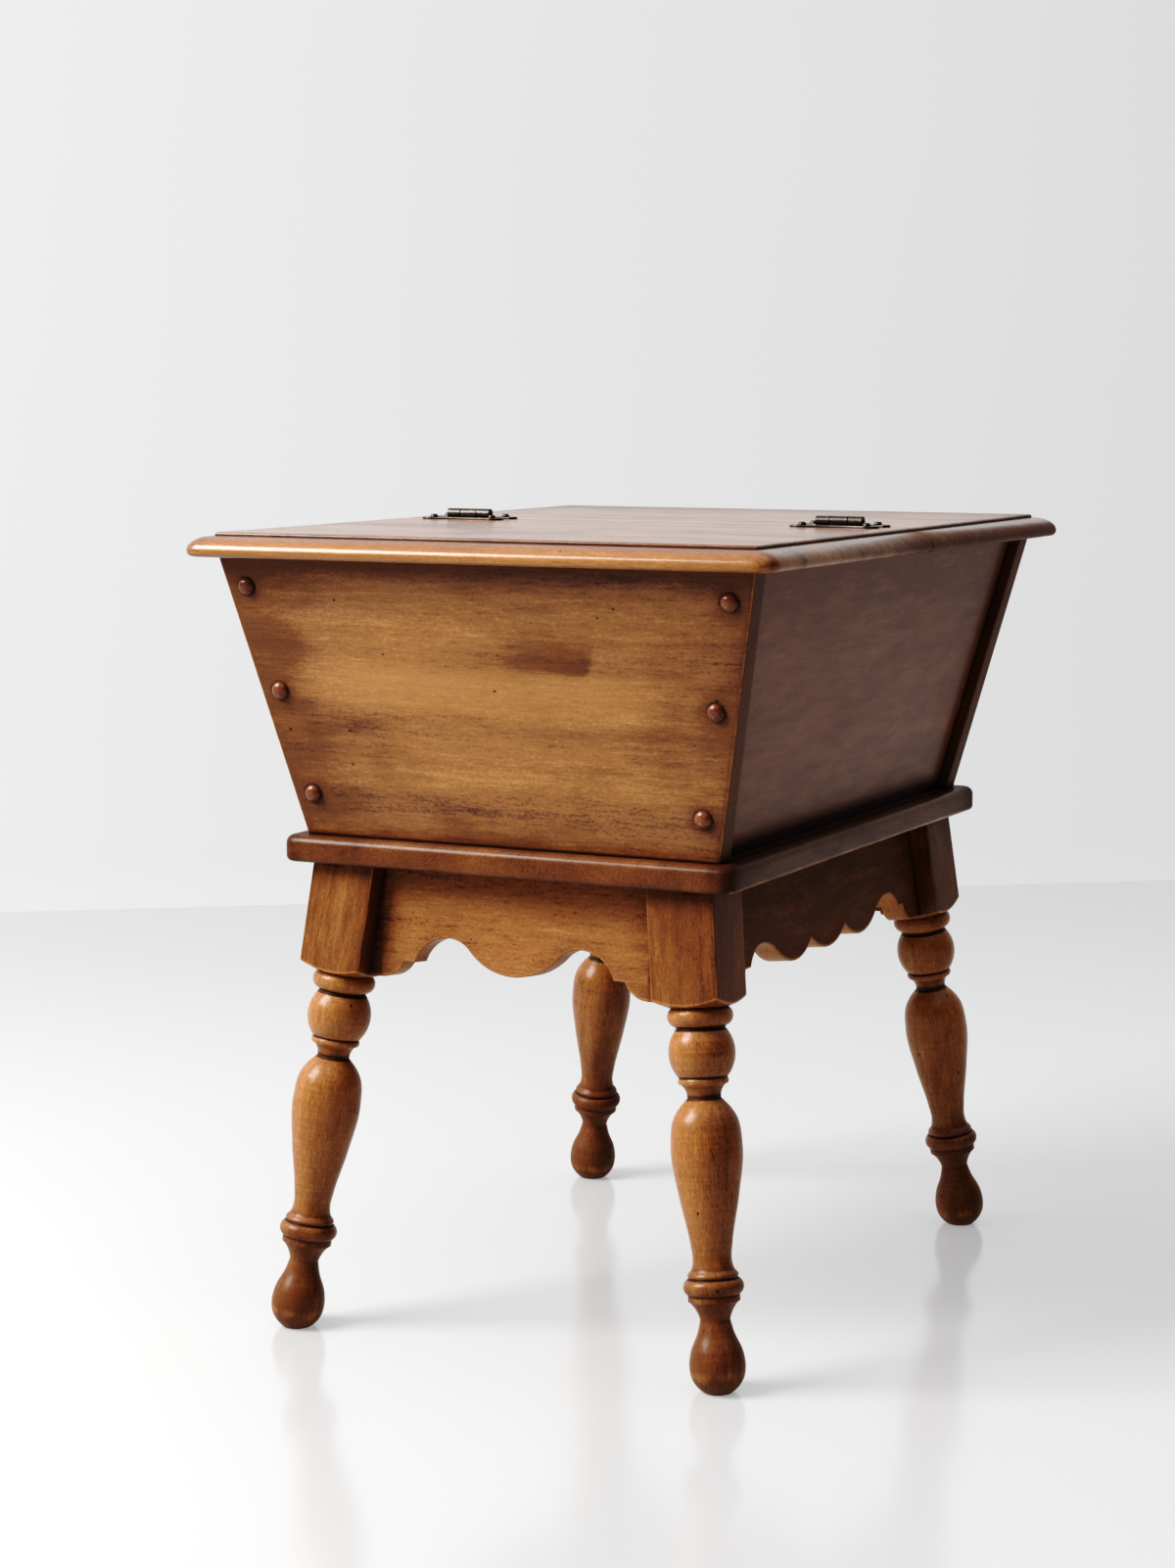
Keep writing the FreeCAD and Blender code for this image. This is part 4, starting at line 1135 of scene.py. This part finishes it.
def apron(stand, shares, leg_place, grime_and_shade):
    """An apron drawn upright along X between its legs, with its outer face towards -Y."""
    half_stock, arris, depth = stand.stock / 2, stand.apron_arris, stand.apron_depth
    outer = stand.apron_setback - half_stock
    inner = outer + stand.apron_thickness
    right = apron_outline(shares, leg_place - half_stock, depth)
    outline = mirrored(right)[:-1] + right
    leg_face = leg_place - half_stock / math.cos(stand.splay)
    bedded, clear = 1.0 * MM, 0.2 * MM

    def ring(place, low):
        """Down the outer face, round the lower edge and up the inner face."""
        rounding = arris / abs(low)
        turns = [(math.sin(t * QUARTER_TURN), math.cos(t * QUARTER_TURN)) for t in steps(3)]
        section = [(outer, share * (1 - rounding), share) for share in graded(9)[:-1]]
        section += [(outer + arris * (1 - cosine), 1 - rounding * (1 - sine), 1.0) for sine, cosine in turns]
        section += [(outer + arris + (inner - outer - 2 * arris) * t, 1.0, 1.0) for t in (0.33, 0.66)]
        section += [(inner - arris * (1 - sine), 1 - rounding * (1 - cosine), 1.0) for sine, cosine in turns]
        section += [(inner, share * (1 - rounding), share) for share in graded(5)[-2::-1]]
        marked = []
        for y, down, share in section:
            top = y * math.tan(stand.splay)
            height = top + (low - top) * down
            x = place(height)
            from_edge, from_leg = abs(low) * (1 - share), max(0.0, leg_face - abs(x))
            side_of = min(abs(y - outer), abs(y - inner))
            worn = 0.35 * near(math.hypot(from_edge, side_of), 1.4 * MM)
            grimy = 0.45 * near(from_leg, 2.2 * MM)
            # Painted shade under the base board and beside the legs, and darker towards the sawn edge
            tone = 0.55 * near(height, 7 * MM) + 0.5 * near(from_leg, 12 * MM) + 0.35 * near(from_edge, 9 * MM)
            # The sawn lower edge is paler: lighter sawn wood, with painted bounce light from the floor
            tone = -0.3 if share == 1.0 else tone + grime_and_shade
            marked.append((Vector((x, y, height)), (worn, grimy, tone)))
        return marked

    def sheared(side, more):
        return lambda height: side * (leg_face - height * math.tan(stand.splay) + more)

    rings = [ring(sheared(-1, more), -depth) for more in (bedded, -clear)]
    rings += [ring(lambda height, x=point.x: x, point.y) for point in outline]
    rings += [ring(sheared(1, more), -depth) for more in (-clear, bedded)]
    return Blank(rings)


# The hinges, drawn with the seam under the pin and the top at height zero
def inset_ring(outline, distance):
    """A closed outline, drawn against the clock, moved inward."""
    points = []
    for before, here, after in zip(outline[-1:] + outline, outline, outline[1:] + outline[:1]):
        along = (after - here).normalized() + (here - before).normalized()
        points.append(here + Vector((-along.y, along.x)).normalized() * distance)
    return points


def wing_outline(hinge):
    """Outline of the plate of a leaf on the side of +Y, against the clock."""
    lobe = Vector((hinge.half_span - hinge.lobe, hinge.reach - hinge.lobe))
    lobe_start, lobe_end = lobe + hinge.lobe * toward(-hinge.lobe_turn), lobe + Vector((0, hinge.lobe))
    waist = Vector((hinge.barrel / 2, hinge.knuckle / 2 + hinge.clearance))
    bow = (waist + lobe_start) / 2 + Vector((0, hinge.bow))
    right = joined(arc(waist, bow, lobe_start, 8), arc(lobe_start, lobe + Vector((hinge.lobe, 0)), lobe_end, 18))
    left = mirrored(right)
    return joined(right, arc(lobe_end, (0, hinge.reach - hinge.dip), left[0], 20), left)


def plate(hinge):
    """The plate of a leaf. Each row has its inset, its height and how worn it is."""
    rim, top = hinge.rim, hinge.plate
    rows = (
        (0.0, 0.0, 0.0), (0.0, top - rim, 0.2), (rim * 0.3, top - rim * 0.3, 0.5), (rim, top, 0.4),
        (rim + 0.7 * MM, top, 0.1),
    )
    outline = wing_outline(hinge)
    return Blank([[(Vector((*point, height)), (worn, 0.0, 0.0)) for point in inset_ring(outline, inset)]
                  for inset, height, worn in rows])


def knuckle(hinge, start, end):
    """A knuckle with the neck that joins it to its plate, from one place along the pin to another."""
    radius, rim, ease = hinge.knuckle / 2, hinge.rim, 1.2 * MM
    height = hinge.lift + radius
    reach = radius + hinge.clearance + hinge.gap
    first = math.asin((hinge.plate - height) / radius)
    sweep = 1.75 * FULL_TURN - first % FULL_TURN
    barrel = [Vector((0, height)) + radius * toward(first + sweep * t) for t in steps(28)]
    outline = [Vector((reach, 0)), Vector((reach, hinge.plate))] + barrel + [Vector((0, 0))]
    rows = (
        (rim, start, 0.1), (0.0, start + rim, 0.3), (0.0, start + ease, 0.25), (0.0, end - ease, 0.25),
        (0.0, end - rim, 0.3), (rim, end, 0.1),
    )
    return Blank([[(Vector((place, *point)), (worn, 0.0, 0.0)) for point in inset_ring(outline, inset)]
                  for inset, place, worn in rows])


def hinge_leaf(hinge, spans):
    blank = plate(hinge)
    for start, end in spans:
        blank.add(knuckle(hinge, start, end))
    return blank


def hinge_pin(hinge, half_length):
    radius, soft, axis = hinge.pin / 2, 0.5 * MM, 0.2 * MM
    height = hinge.lift + hinge.knuckle / 2
    end = [Vector((-half_length, axis))]
    end += quarter((-half_length, radius - soft), (-half_length, radius), (soft - half_length, radius), 5)
    return Blank([[(Vector((point.x, *(toward(angle) * point.y + Vector((0, height))))), (0.3, 0.0, 0.0))
                   for angle in circle(24)] for point in end + mirrored(end)])


# Operators
class DOUGHBOX_OT_case(bpy.types.Operator):
    """Makes the two end boards and the two side boards of the box"""

    bl_idname = "dough_box.make_case"
    bl_label = "Box Boards"

    def execute(self, context):
        settings = context.scene.dough_box
        finish, case = settings.finish, settings.case
        tones = wood_tones("case")
        material = maple("Box Maple", tones, finish.coat, figure=0.8, smudges=0.45, specks=0.30)
        names, grain = ("front_end_board", "rear_end_board"), ((1, 0, 0), (0, 0, 1))
        opposite_pieces(names, lambda turned: end_board(case, not turned), material, "case_maple", grain, 0)
        # The side boards take an even, redder and darker copy of the box stain; the darkening is painted shade
        redder_shaded = Matrix.Diagonal((0.88, 0.74, 0.70))
        even = [redder_shaded @ Vector(tone).lerp(Vector(finish.case_warm), 0.6) for tone in tones]
        material = maple("Side Maple", even, finish.coat * 0.9, rough=(0.40, 0.48), figure=0.7, smudges=0.05,
                         specks=0.30, relief=0.05, patchy=0.2)
        names, grain = ("right_side_board", "left_side_board"), ((0, 1, 0), (0, 0, 1))
        opposite_pieces(names, lambda turned: side_board(case), material, "case_maple", grain, 2)
        return {"FINISHED"}


class DOUGHBOX_OT_pegs(bpy.types.Operator):
    """Makes the domed pegs that pin the corners of the box"""

    bl_idname = "dough_box.make_pegs"
    bl_label = "Pegs"

    def execute(self, context):
        settings = context.scene.dough_box
        finish, case = settings.finish, settings.case
        material = maple("Peg Maple", wood_tones("peg"), finish.coat * 1.3, rough=(0.22, 0.45), figure=0.5,
                         smudges=0.3, specks=0.2, coat_rough=0.09)
        names, grain = ("front_pegs", "rear_pegs"), ((0, 1, 0), (0, 0, 1))
        opposite_pieces(names, lambda turned: end_pegs(case), material, "peg_maple", grain, 4)
        return {"FINISHED"}


class DOUGHBOX_OT_base(bpy.types.Operator):
    """Makes the moulded base board under the box"""

    bl_idname = "dough_box.make_base"
    bl_label = "Base Board"

    def execute(self, context):
        settings = context.scene.dough_box
        finish = settings.finish
        material = maple("Moulding Maple", wood_tones("base"), finish.base_coat, rough=(0.26, 0.5),
                         figure=0.6, smudges=0.35, specks=0.3, shine=0.12)
        timber = timber_frame((0, 1, 0), (1, 0, 0), 6)
        base_board(settings.case).piece("base_board.maple", material, "table", "moulding_maple", timber, "base_board")
        return {"FINISHED"}


class DOUGHBOX_OT_top(bpy.types.Operator):
    """Makes the lid and the fixed leaf of the top"""

    bl_idname = "dough_box.make_top"
    bl_label = "Top Leaves"

    def execute(self, context):
        settings = context.scene.dough_box
        finish = settings.finish
        material = maple("Top Maple", wood_tones("top"), finish.top_coat, rough=(0.3, 0.6), figure=0.5,
                         smudges=0.9, specks=0.25, shine=0.1)
        leaves = (
            ("lid_board", lid_low.z, lid_high.y, -1, "lid"),
            ("fixed_top_board", fixed_low.z, fixed_low.y, 1, "table"),
        )
        for number, (name, bottom, seam, side, body) in enumerate(leaves):
            timber = timber_frame((1, 0, 0), (0, 1, 0), number + 7)
            leaf = top_leaf(settings.top, bottom, seam, side)
            leaf.piece(name + ".maple", material, body, "top_maple", timber, name)
        return {"FINISHED"}


class DOUGHBOX_OT_legs(bpy.types.Operator):
    """Turns the four splayed legs"""

    bl_idname = "dough_box.make_legs"
    bl_label = "Legs"

    def execute(self, context):
        settings = context.scene.dough_box
        finish, stand = settings.finish, settings.stand
        material = maple("Leg Maple", wood_tones("leg"), finish.leg_coat, rough=(0.24, 0.5), figure=0.6,
                         smudges=0.4, specks=0.5, turned=0.42, block=stand.block, relief=0.2, shine=0.14)
        legs = (("front_left", -1, 1), ("front_right", 1, 1), ("rear_left", -1, -1), ("rear_right", 1, -1))
        for number, (corner, x, y) in enumerate(legs):
            name = corner + "_leg"
            place = Matrix.Diagonal((x, y, 1, 1)) @ leg_lean(stand)
            grain = timber_frame((0, 0, 1), (1, 0, 0), number + 9) @ place.inverted()
            # The rear left leg is darker with painted shade
            made = leg(stand, painted_shade=0.4 if name == "rear_left_leg" else 0.0).placed(place)
            made = made.piece(name + ".maple", material, "table", "turned_maple", grain, name)
            cut_level(made, 0.0, STAND_TOP)
        return {"FINISHED"}


class DOUGHBOX_OT_aprons(bpy.types.Operator):
    """Saws the four scalloped aprons"""

    bl_idname = "dough_box.make_aprons"
    bl_label = "Aprons"

    def execute(self, context):
        settings = context.scene.dough_box
        finish, stand = settings.finish, settings.stand
        material = maple("Apron Maple", wood_tones("apron"), finish.stand_coat, figure=0.6, smudges=0.35,
                         specks=0.45, shine=0.10, relief=0.2)
        corner = leg_lean(stand).translation
        front = Matrix.Translation((0, corner.y, STAND_TOP)) @ Matrix.Rotation(-stand.splay, 4, "X")
        right = Matrix.Translation((corner.x, 0, STAND_TOP)) @ Matrix.Rotation(-stand.splay, 4, "Y")
        right = right @ Matrix.Rotation(QUARTER_TURN, 4, "Z")
        # The side aprons get painted shade and grime on top of their tone
        pairs = (
            ("front_apron", "rear_apron", FRONT_APRON_SHARES, corner.x, front, 0.0),
            ("right_apron", "left_apron", SIDE_APRON_SHARES, -corner.y, right, 1.3),
        )
        for pair, (drawn, opposite, shares, leg_place, lean, grime_and_shade) in enumerate(pairs):
            for number, name in enumerate((drawn, opposite)):
                place = half_turned(number) @ lean
                timber = timber_frame((1, 0, 0), (0, 0, 1), 2 * pair + number + 13) @ place.inverted()
                board = apron(stand, shares, leg_place, grime_and_shade).placed(place)
                board.piece(name + ".maple", material, "table", "apron_maple", timber, name)
        return {"FINISHED"}


class DOUGHBOX_OT_hinges(bpy.types.Operator):
    """Makes the butterfly hinges, and gives their screws their metal"""

    bl_idname = "dough_box.make_hinges"
    bl_label = "Hinges"

    def execute(self, context):
        settings = context.scene.dough_box
        finish, hinge = settings.finish, settings.hinge
        brass = antique_metal("Antique Brass", finish.rubbed_metal, 0.7)
        pin_metal = antique_metal("Antique Pin", finish.rubbed_metal, 0.6)
        screw_metal = antique_metal("Antique Screw", finish.rubbed_metal, 0.3, shaped=False)
        middle_share = 0.38
        half, middle, play = hinge.barrel / 2, hinge.barrel * middle_share / 2, hinge.gap / 2
        outer_spans = ((-half + play, -middle - play), (middle + play, half - play))
        inner_span = ((-middle + play, middle - play),)
        pin_half, hinge_x = (pin_high.x - pin_low.x) / 2, (pin_high.x + pin_low.x) / 2
        for side, x in (("left", -hinge_x), ("right", hinge_x)):
            place = Matrix.Translation((x, 0, TOP_FACE))
            mirrored = place @ Matrix.Diagonal((1, -1, 1, 1))
            pieces = (
                ("_hinge_fixed_leaf", hinge_leaf(hinge, outer_spans), place, "table", "antique_brass", brass),
                ("_hinge_lid_leaf", hinge_leaf(hinge, inner_span), mirrored, "lid", "antique_brass", brass),
                ("_hinge_pin", hinge_pin(hinge, pin_half), place, "table", "antique_pin", pin_metal),
            )
            for name, blank, where, body, slot, material in pieces:
                name = side + name
                blank.placed(where).piece(name + ".brass", material, body, slot, Matrix(), name)
        for name in ("lid_hinge_screws", "fixed_hinge_screws"):
            dress(name, screw_metal)
        return {"FINISHED"}


class DOUGHBOX_OT_fittings(bpy.types.Operator):
    """Finishes the strips and the wood screws, whose shapes come from the frame"""

    bl_idname = "dough_box.finish_fittings"
    bl_label = "Strips and Screws"

    def execute(self, context):
        finish = context.scene.dough_box.finish
        strip = {"tones": wood_tones("plain"), "coat": 0.0, "rough": (0.5, 0.8), "smudges": 0.3}
        across = maple("Strip Maple Across", shaped=False, **strip)
        along = maple("Strip Maple Along", shaped=False, lengthwise=True, **strip)
        steel = antique_metal("Screw Steel", finish.steel, 1.0, shaped=False)
        dressed = (
            (across, ("front_stand_cleat", "rear_stand_cleat")),
            (along, ("left_stand_cleat", "right_stand_cleat", "left_top_cleat", "right_top_cleat")),
            (steel, ("stand_screws", "box_screws", "top_cleat_screws")),
        )
        for material, names in dressed:
            for name in names:
                dress(name, material)
        return {"FINISHED"}


class DOUGHBOX_OT_studio(bpy.types.Operator):
    """Sets up the pale floor and wall, the soft light and the camera"""

    bl_idname = "dough_box.make_studio"
    bl_label = "Studio"

    def execute(self, context):
        studio = context.scene.dough_box.studio
        self.camera(context, studio)
        self.paper(context, studio)
        self.window(context, studio)
        self.room(context, studio)
        view = context.scene.view_settings
        view.view_transform = "Standard"
        view.use_curve_mapping = True
        for place, value in TONE_SHARES:
            view.curve_mapping.curves[3].points.new(place, value)
        view.curve_mapping.update()
        return {"FINISHED"}

    def aimed(self, context, name, data, place, direction):
        """Adds a camera or a light that looks in a direction."""
        made = bpy.data.objects.new(name, data)
        made.location = place
        made.rotation_mode = "QUATERNION"
        made.rotation_quaternion = direction.to_track_quat("-Z", "Y")
        context.scene.collection.objects.link(made)
        return made

    def camera(self, context, studio):
        flat = math.cos(studio.pitch)
        forward = Vector((-math.sin(studio.heading) * flat, math.cos(studio.heading) * flat, math.sin(studio.pitch)))
        data = bpy.data.cameras.new("Studio Camera")
        data.lens = studio.lens
        data.sensor_width = 36.0
        data.clip_end = 100.0
        context.scene.camera = self.aimed(context, "Studio Camera", data, studio.eye, forward)

    def floor_material(self, studio, ahead):
        """The floor glows a little, and less towards the wall."""
        material, nodes, shader = new_material("Studio Floor")
        place = nodes.add("TexCoord").outputs["Object"]
        cloud = nodes.noise(place, 1.4, 1.4, 3, 0.5)
        clouded, fading = 0.965, -0.162
        darker = [part * clouded for part in studio.floor_paper]
        colour = nodes.blend(cloud, (*darker, 1.0), (*studio.floor_paper, 1.0))
        far = nodes.vector("DOT_PRODUCT", place, ahead, result="Value")
        nodes.close(shader, {
            "Base Color": self.dimmed(nodes, studio, colour),
            "Emission Color": self.dimmed(nodes, studio, nodes.blend(cloud, (0.96, 0.963, 0.97, 1.0), WHITE)),
            "Emission Strength": nodes.times_plus(nodes.rise(far, -0.4, 2.2), fading, studio.floor_glow),
            "Roughness": nodes.times_plus(cloud, 0.08, 0.11),
        })
        return material

    def wall_material(self, studio, across):
        """The wall glows, dimmer towards the right, and shows nothing from behind."""
        material, nodes, shader = new_material("Studio Wall")
        place = nodes.add("TexCoord").outputs["Object"]
        cloud = nodes.noise(place, 0.9, 0.9, 3, 0.5)
        sideways = nodes.vector("DOT_PRODUCT", place, across, result="Value")
        to_right, clouded, least, most = -0.087, 0.03, 0.35, 0.95
        glow = nodes.times_plus(sideways, to_right, nodes.times_plus(cloud, clouded, studio.wall_glow))
        clear = nodes.add("BsdfTransparent").outputs[0]
        behind = nodes.add("NewGeometry").outputs["Backfacing"]
        lit = material.node_tree.nodes["Principled BSDF"].outputs[0]
        mixed = nodes.add("MixShader", {0: behind, 1: lit, 2: clear}).outputs[0]
        nodes.plug(material.node_tree.nodes["Material Output"].inputs["Surface"], mixed)
        nodes.close(shader, {
            "Base Color": (0.05, 0.05, 0.05, 1.0), "Specular IOR Level": 0.0,
            "Emission Color": self.dimmed(nodes, studio, nodes.blend(cloud, (0.985, 0.99, 1.0, 1.0), WHITE)),
            "Emission Strength": nodes.least(nodes.most(glow, least), most),
        })
        return material

    def dimmed(self, nodes, studio, colour):
        """The colour as it is seen, and less of it in the light that it throws back at the table."""
        thrown_back = nodes.add("LightPath").outputs["Is Diffuse Ray"]
        less = nodes.blend(1.0, colour, (studio.bounce, studio.bounce, studio.bounce, 1.0), "MULTIPLY")
        return nodes.blend(thrown_back, colour, less)

    def paper(self, context, studio):
        """A floor and a wall that starts with a small fold, both square to each other."""
        turned = Matrix.Rotation(studio.heading + studio.wall_turn, 4, "Z")
        place = Matrix.Translation((studio.eye[0], studio.eye[1], 0.0)) @ turned
        behind, ahead, reach, fold, tall = 5.0, 14.0, 9.0, 0.05, 5.0
        middle = Vector((0, studio.wall - fold, fold))
        bend = [middle + fold * Vector((0, math.sin(t * QUARTER_TURN), -math.cos(t * QUARTER_TURN))) for t in steps(10)]
        sheets = (
            ("studio_floor", [Vector((0, -behind, 0)), Vector((0, ahead, 0))],
             self.floor_material(studio, turned @ Vector((0, 1, 0)))),
            ("studio_wall", bend + [Vector((0, studio.wall, tall))],
             self.wall_material(studio, turned @ Vector((1, 0, 0)))),
        )
        for name, line, material in sheets:
            points = [place @ (point + Vector((side * reach, 0, 0))) for point in line for side in (-1, 1)]
            faces = [(2 * i, 2 * i + 1, 2 * i + 3, 2 * i + 2) for i in range(len(line) - 1)]
            mesh = bpy.data.meshes.new(name)
            mesh.from_pydata(points, [], faces)
            mesh.shade_smooth()
            mesh.materials.append(material)
            made = bpy.data.objects.new(name, mesh)
            context.scene.collection.objects.link(made)

    def window(self, context, studio):
        place, table = Vector((-1.65, -1.52, 2.05)), Vector((0, 0, 0.35))
        data = bpy.data.lights.new("Window", "AREA")
        data.shape = "RECTANGLE"
        data.size = data.size_y = 1.4
        data.energy = studio.window
        data.color = (1.0, 0.985, 0.96)
        self.aimed(context, "Window", data, place, table - place).visible_camera = False

    def room(self, context, studio):
        """Light from the room on the left and from above, and a plain pale room for the camera."""
        world = bpy.data.worlds.new("Room")
        world.use_nodes = True
        nodes = Nodes(world.node_tree)
        parts = nodes.parts(nodes.add("TexCoord").outputs["Generated"])
        left = nodes.rise(nodes.times_plus(parts["Y"], 0.35, parts["X"]), 0.35, -0.85)
        above = nodes.rise(parts["Z"], 0.35, 1.0)
        lit = nodes.most(nodes.times(left, studio.room), nodes.times(above, studio.ceiling))
        seen = nodes.add("LightPath").outputs["Is Camera Ray"]
        background = 0.84
        nodes.close(world.node_tree.nodes["Background"].inputs, {
            "Color": (0.97, 0.985, 1.0, 1.0),
            "Strength": nodes.add("Mix", {0: seen, 2: lit, 3: background}, data_type="FLOAT").outputs[0],
        })
        context.scene.world = world


class DOUGHBOX_PT_panel(bpy.types.Panel):
    """Lists what makes the table"""

    bl_idname = "DOUGHBOX_PT_panel"
    bl_label = "Dough Box End Table"
    bl_space_type = "VIEW_3D"
    bl_region_type = "UI"
    bl_category = "Dough Box"

    def draw(self, context):
        for operator in OPERATORS:
            self.layout.operator(operator.bl_idname)
        settings = context.scene.dough_box
        for group in (settings.top, settings.case, settings.stand, settings.hinge, settings.finish, settings.studio):
            box = self.layout.box()
            for name in group.bl_rna.properties.keys():
                if name not in ("rna_type", "name"):
                    box.prop(group, name)


GROUPS = (DoughBoxTop, DoughBoxCase, DoughBoxStand, DoughBoxHinge, DoughBoxFinish, DoughBoxStudio, DoughBoxSettings)
OPERATORS = (
    DOUGHBOX_OT_case, DOUGHBOX_OT_pegs, DOUGHBOX_OT_base, DOUGHBOX_OT_top, DOUGHBOX_OT_legs, DOUGHBOX_OT_aprons,
    DOUGHBOX_OT_hinges, DOUGHBOX_OT_fittings, DOUGHBOX_OT_studio,
)


def register():
    for made in (*GROUPS, *OPERATORS, DOUGHBOX_PT_panel):
        bpy.utils.register_class(made)
    bpy.types.Scene.dough_box = PointerProperty(type=DoughBoxSettings)


def unregister():
    del bpy.types.Scene.dough_box
    for made in reversed((*GROUPS, *OPERATORS, DOUGHBOX_PT_panel)):
        bpy.utils.unregister_class(made)


def main():
    register()
    bpy.ops.dough_box.make_case()
    bpy.ops.dough_box.make_pegs()
    bpy.ops.dough_box.make_base()
    bpy.ops.dough_box.make_top()
    bpy.ops.dough_box.make_legs()
    bpy.ops.dough_box.make_aprons()
    bpy.ops.dough_box.make_hinges()
    bpy.ops.dough_box.finish_fittings()
    bpy.ops.dough_box.make_studio()


if __name__ == "__main__":
    main()
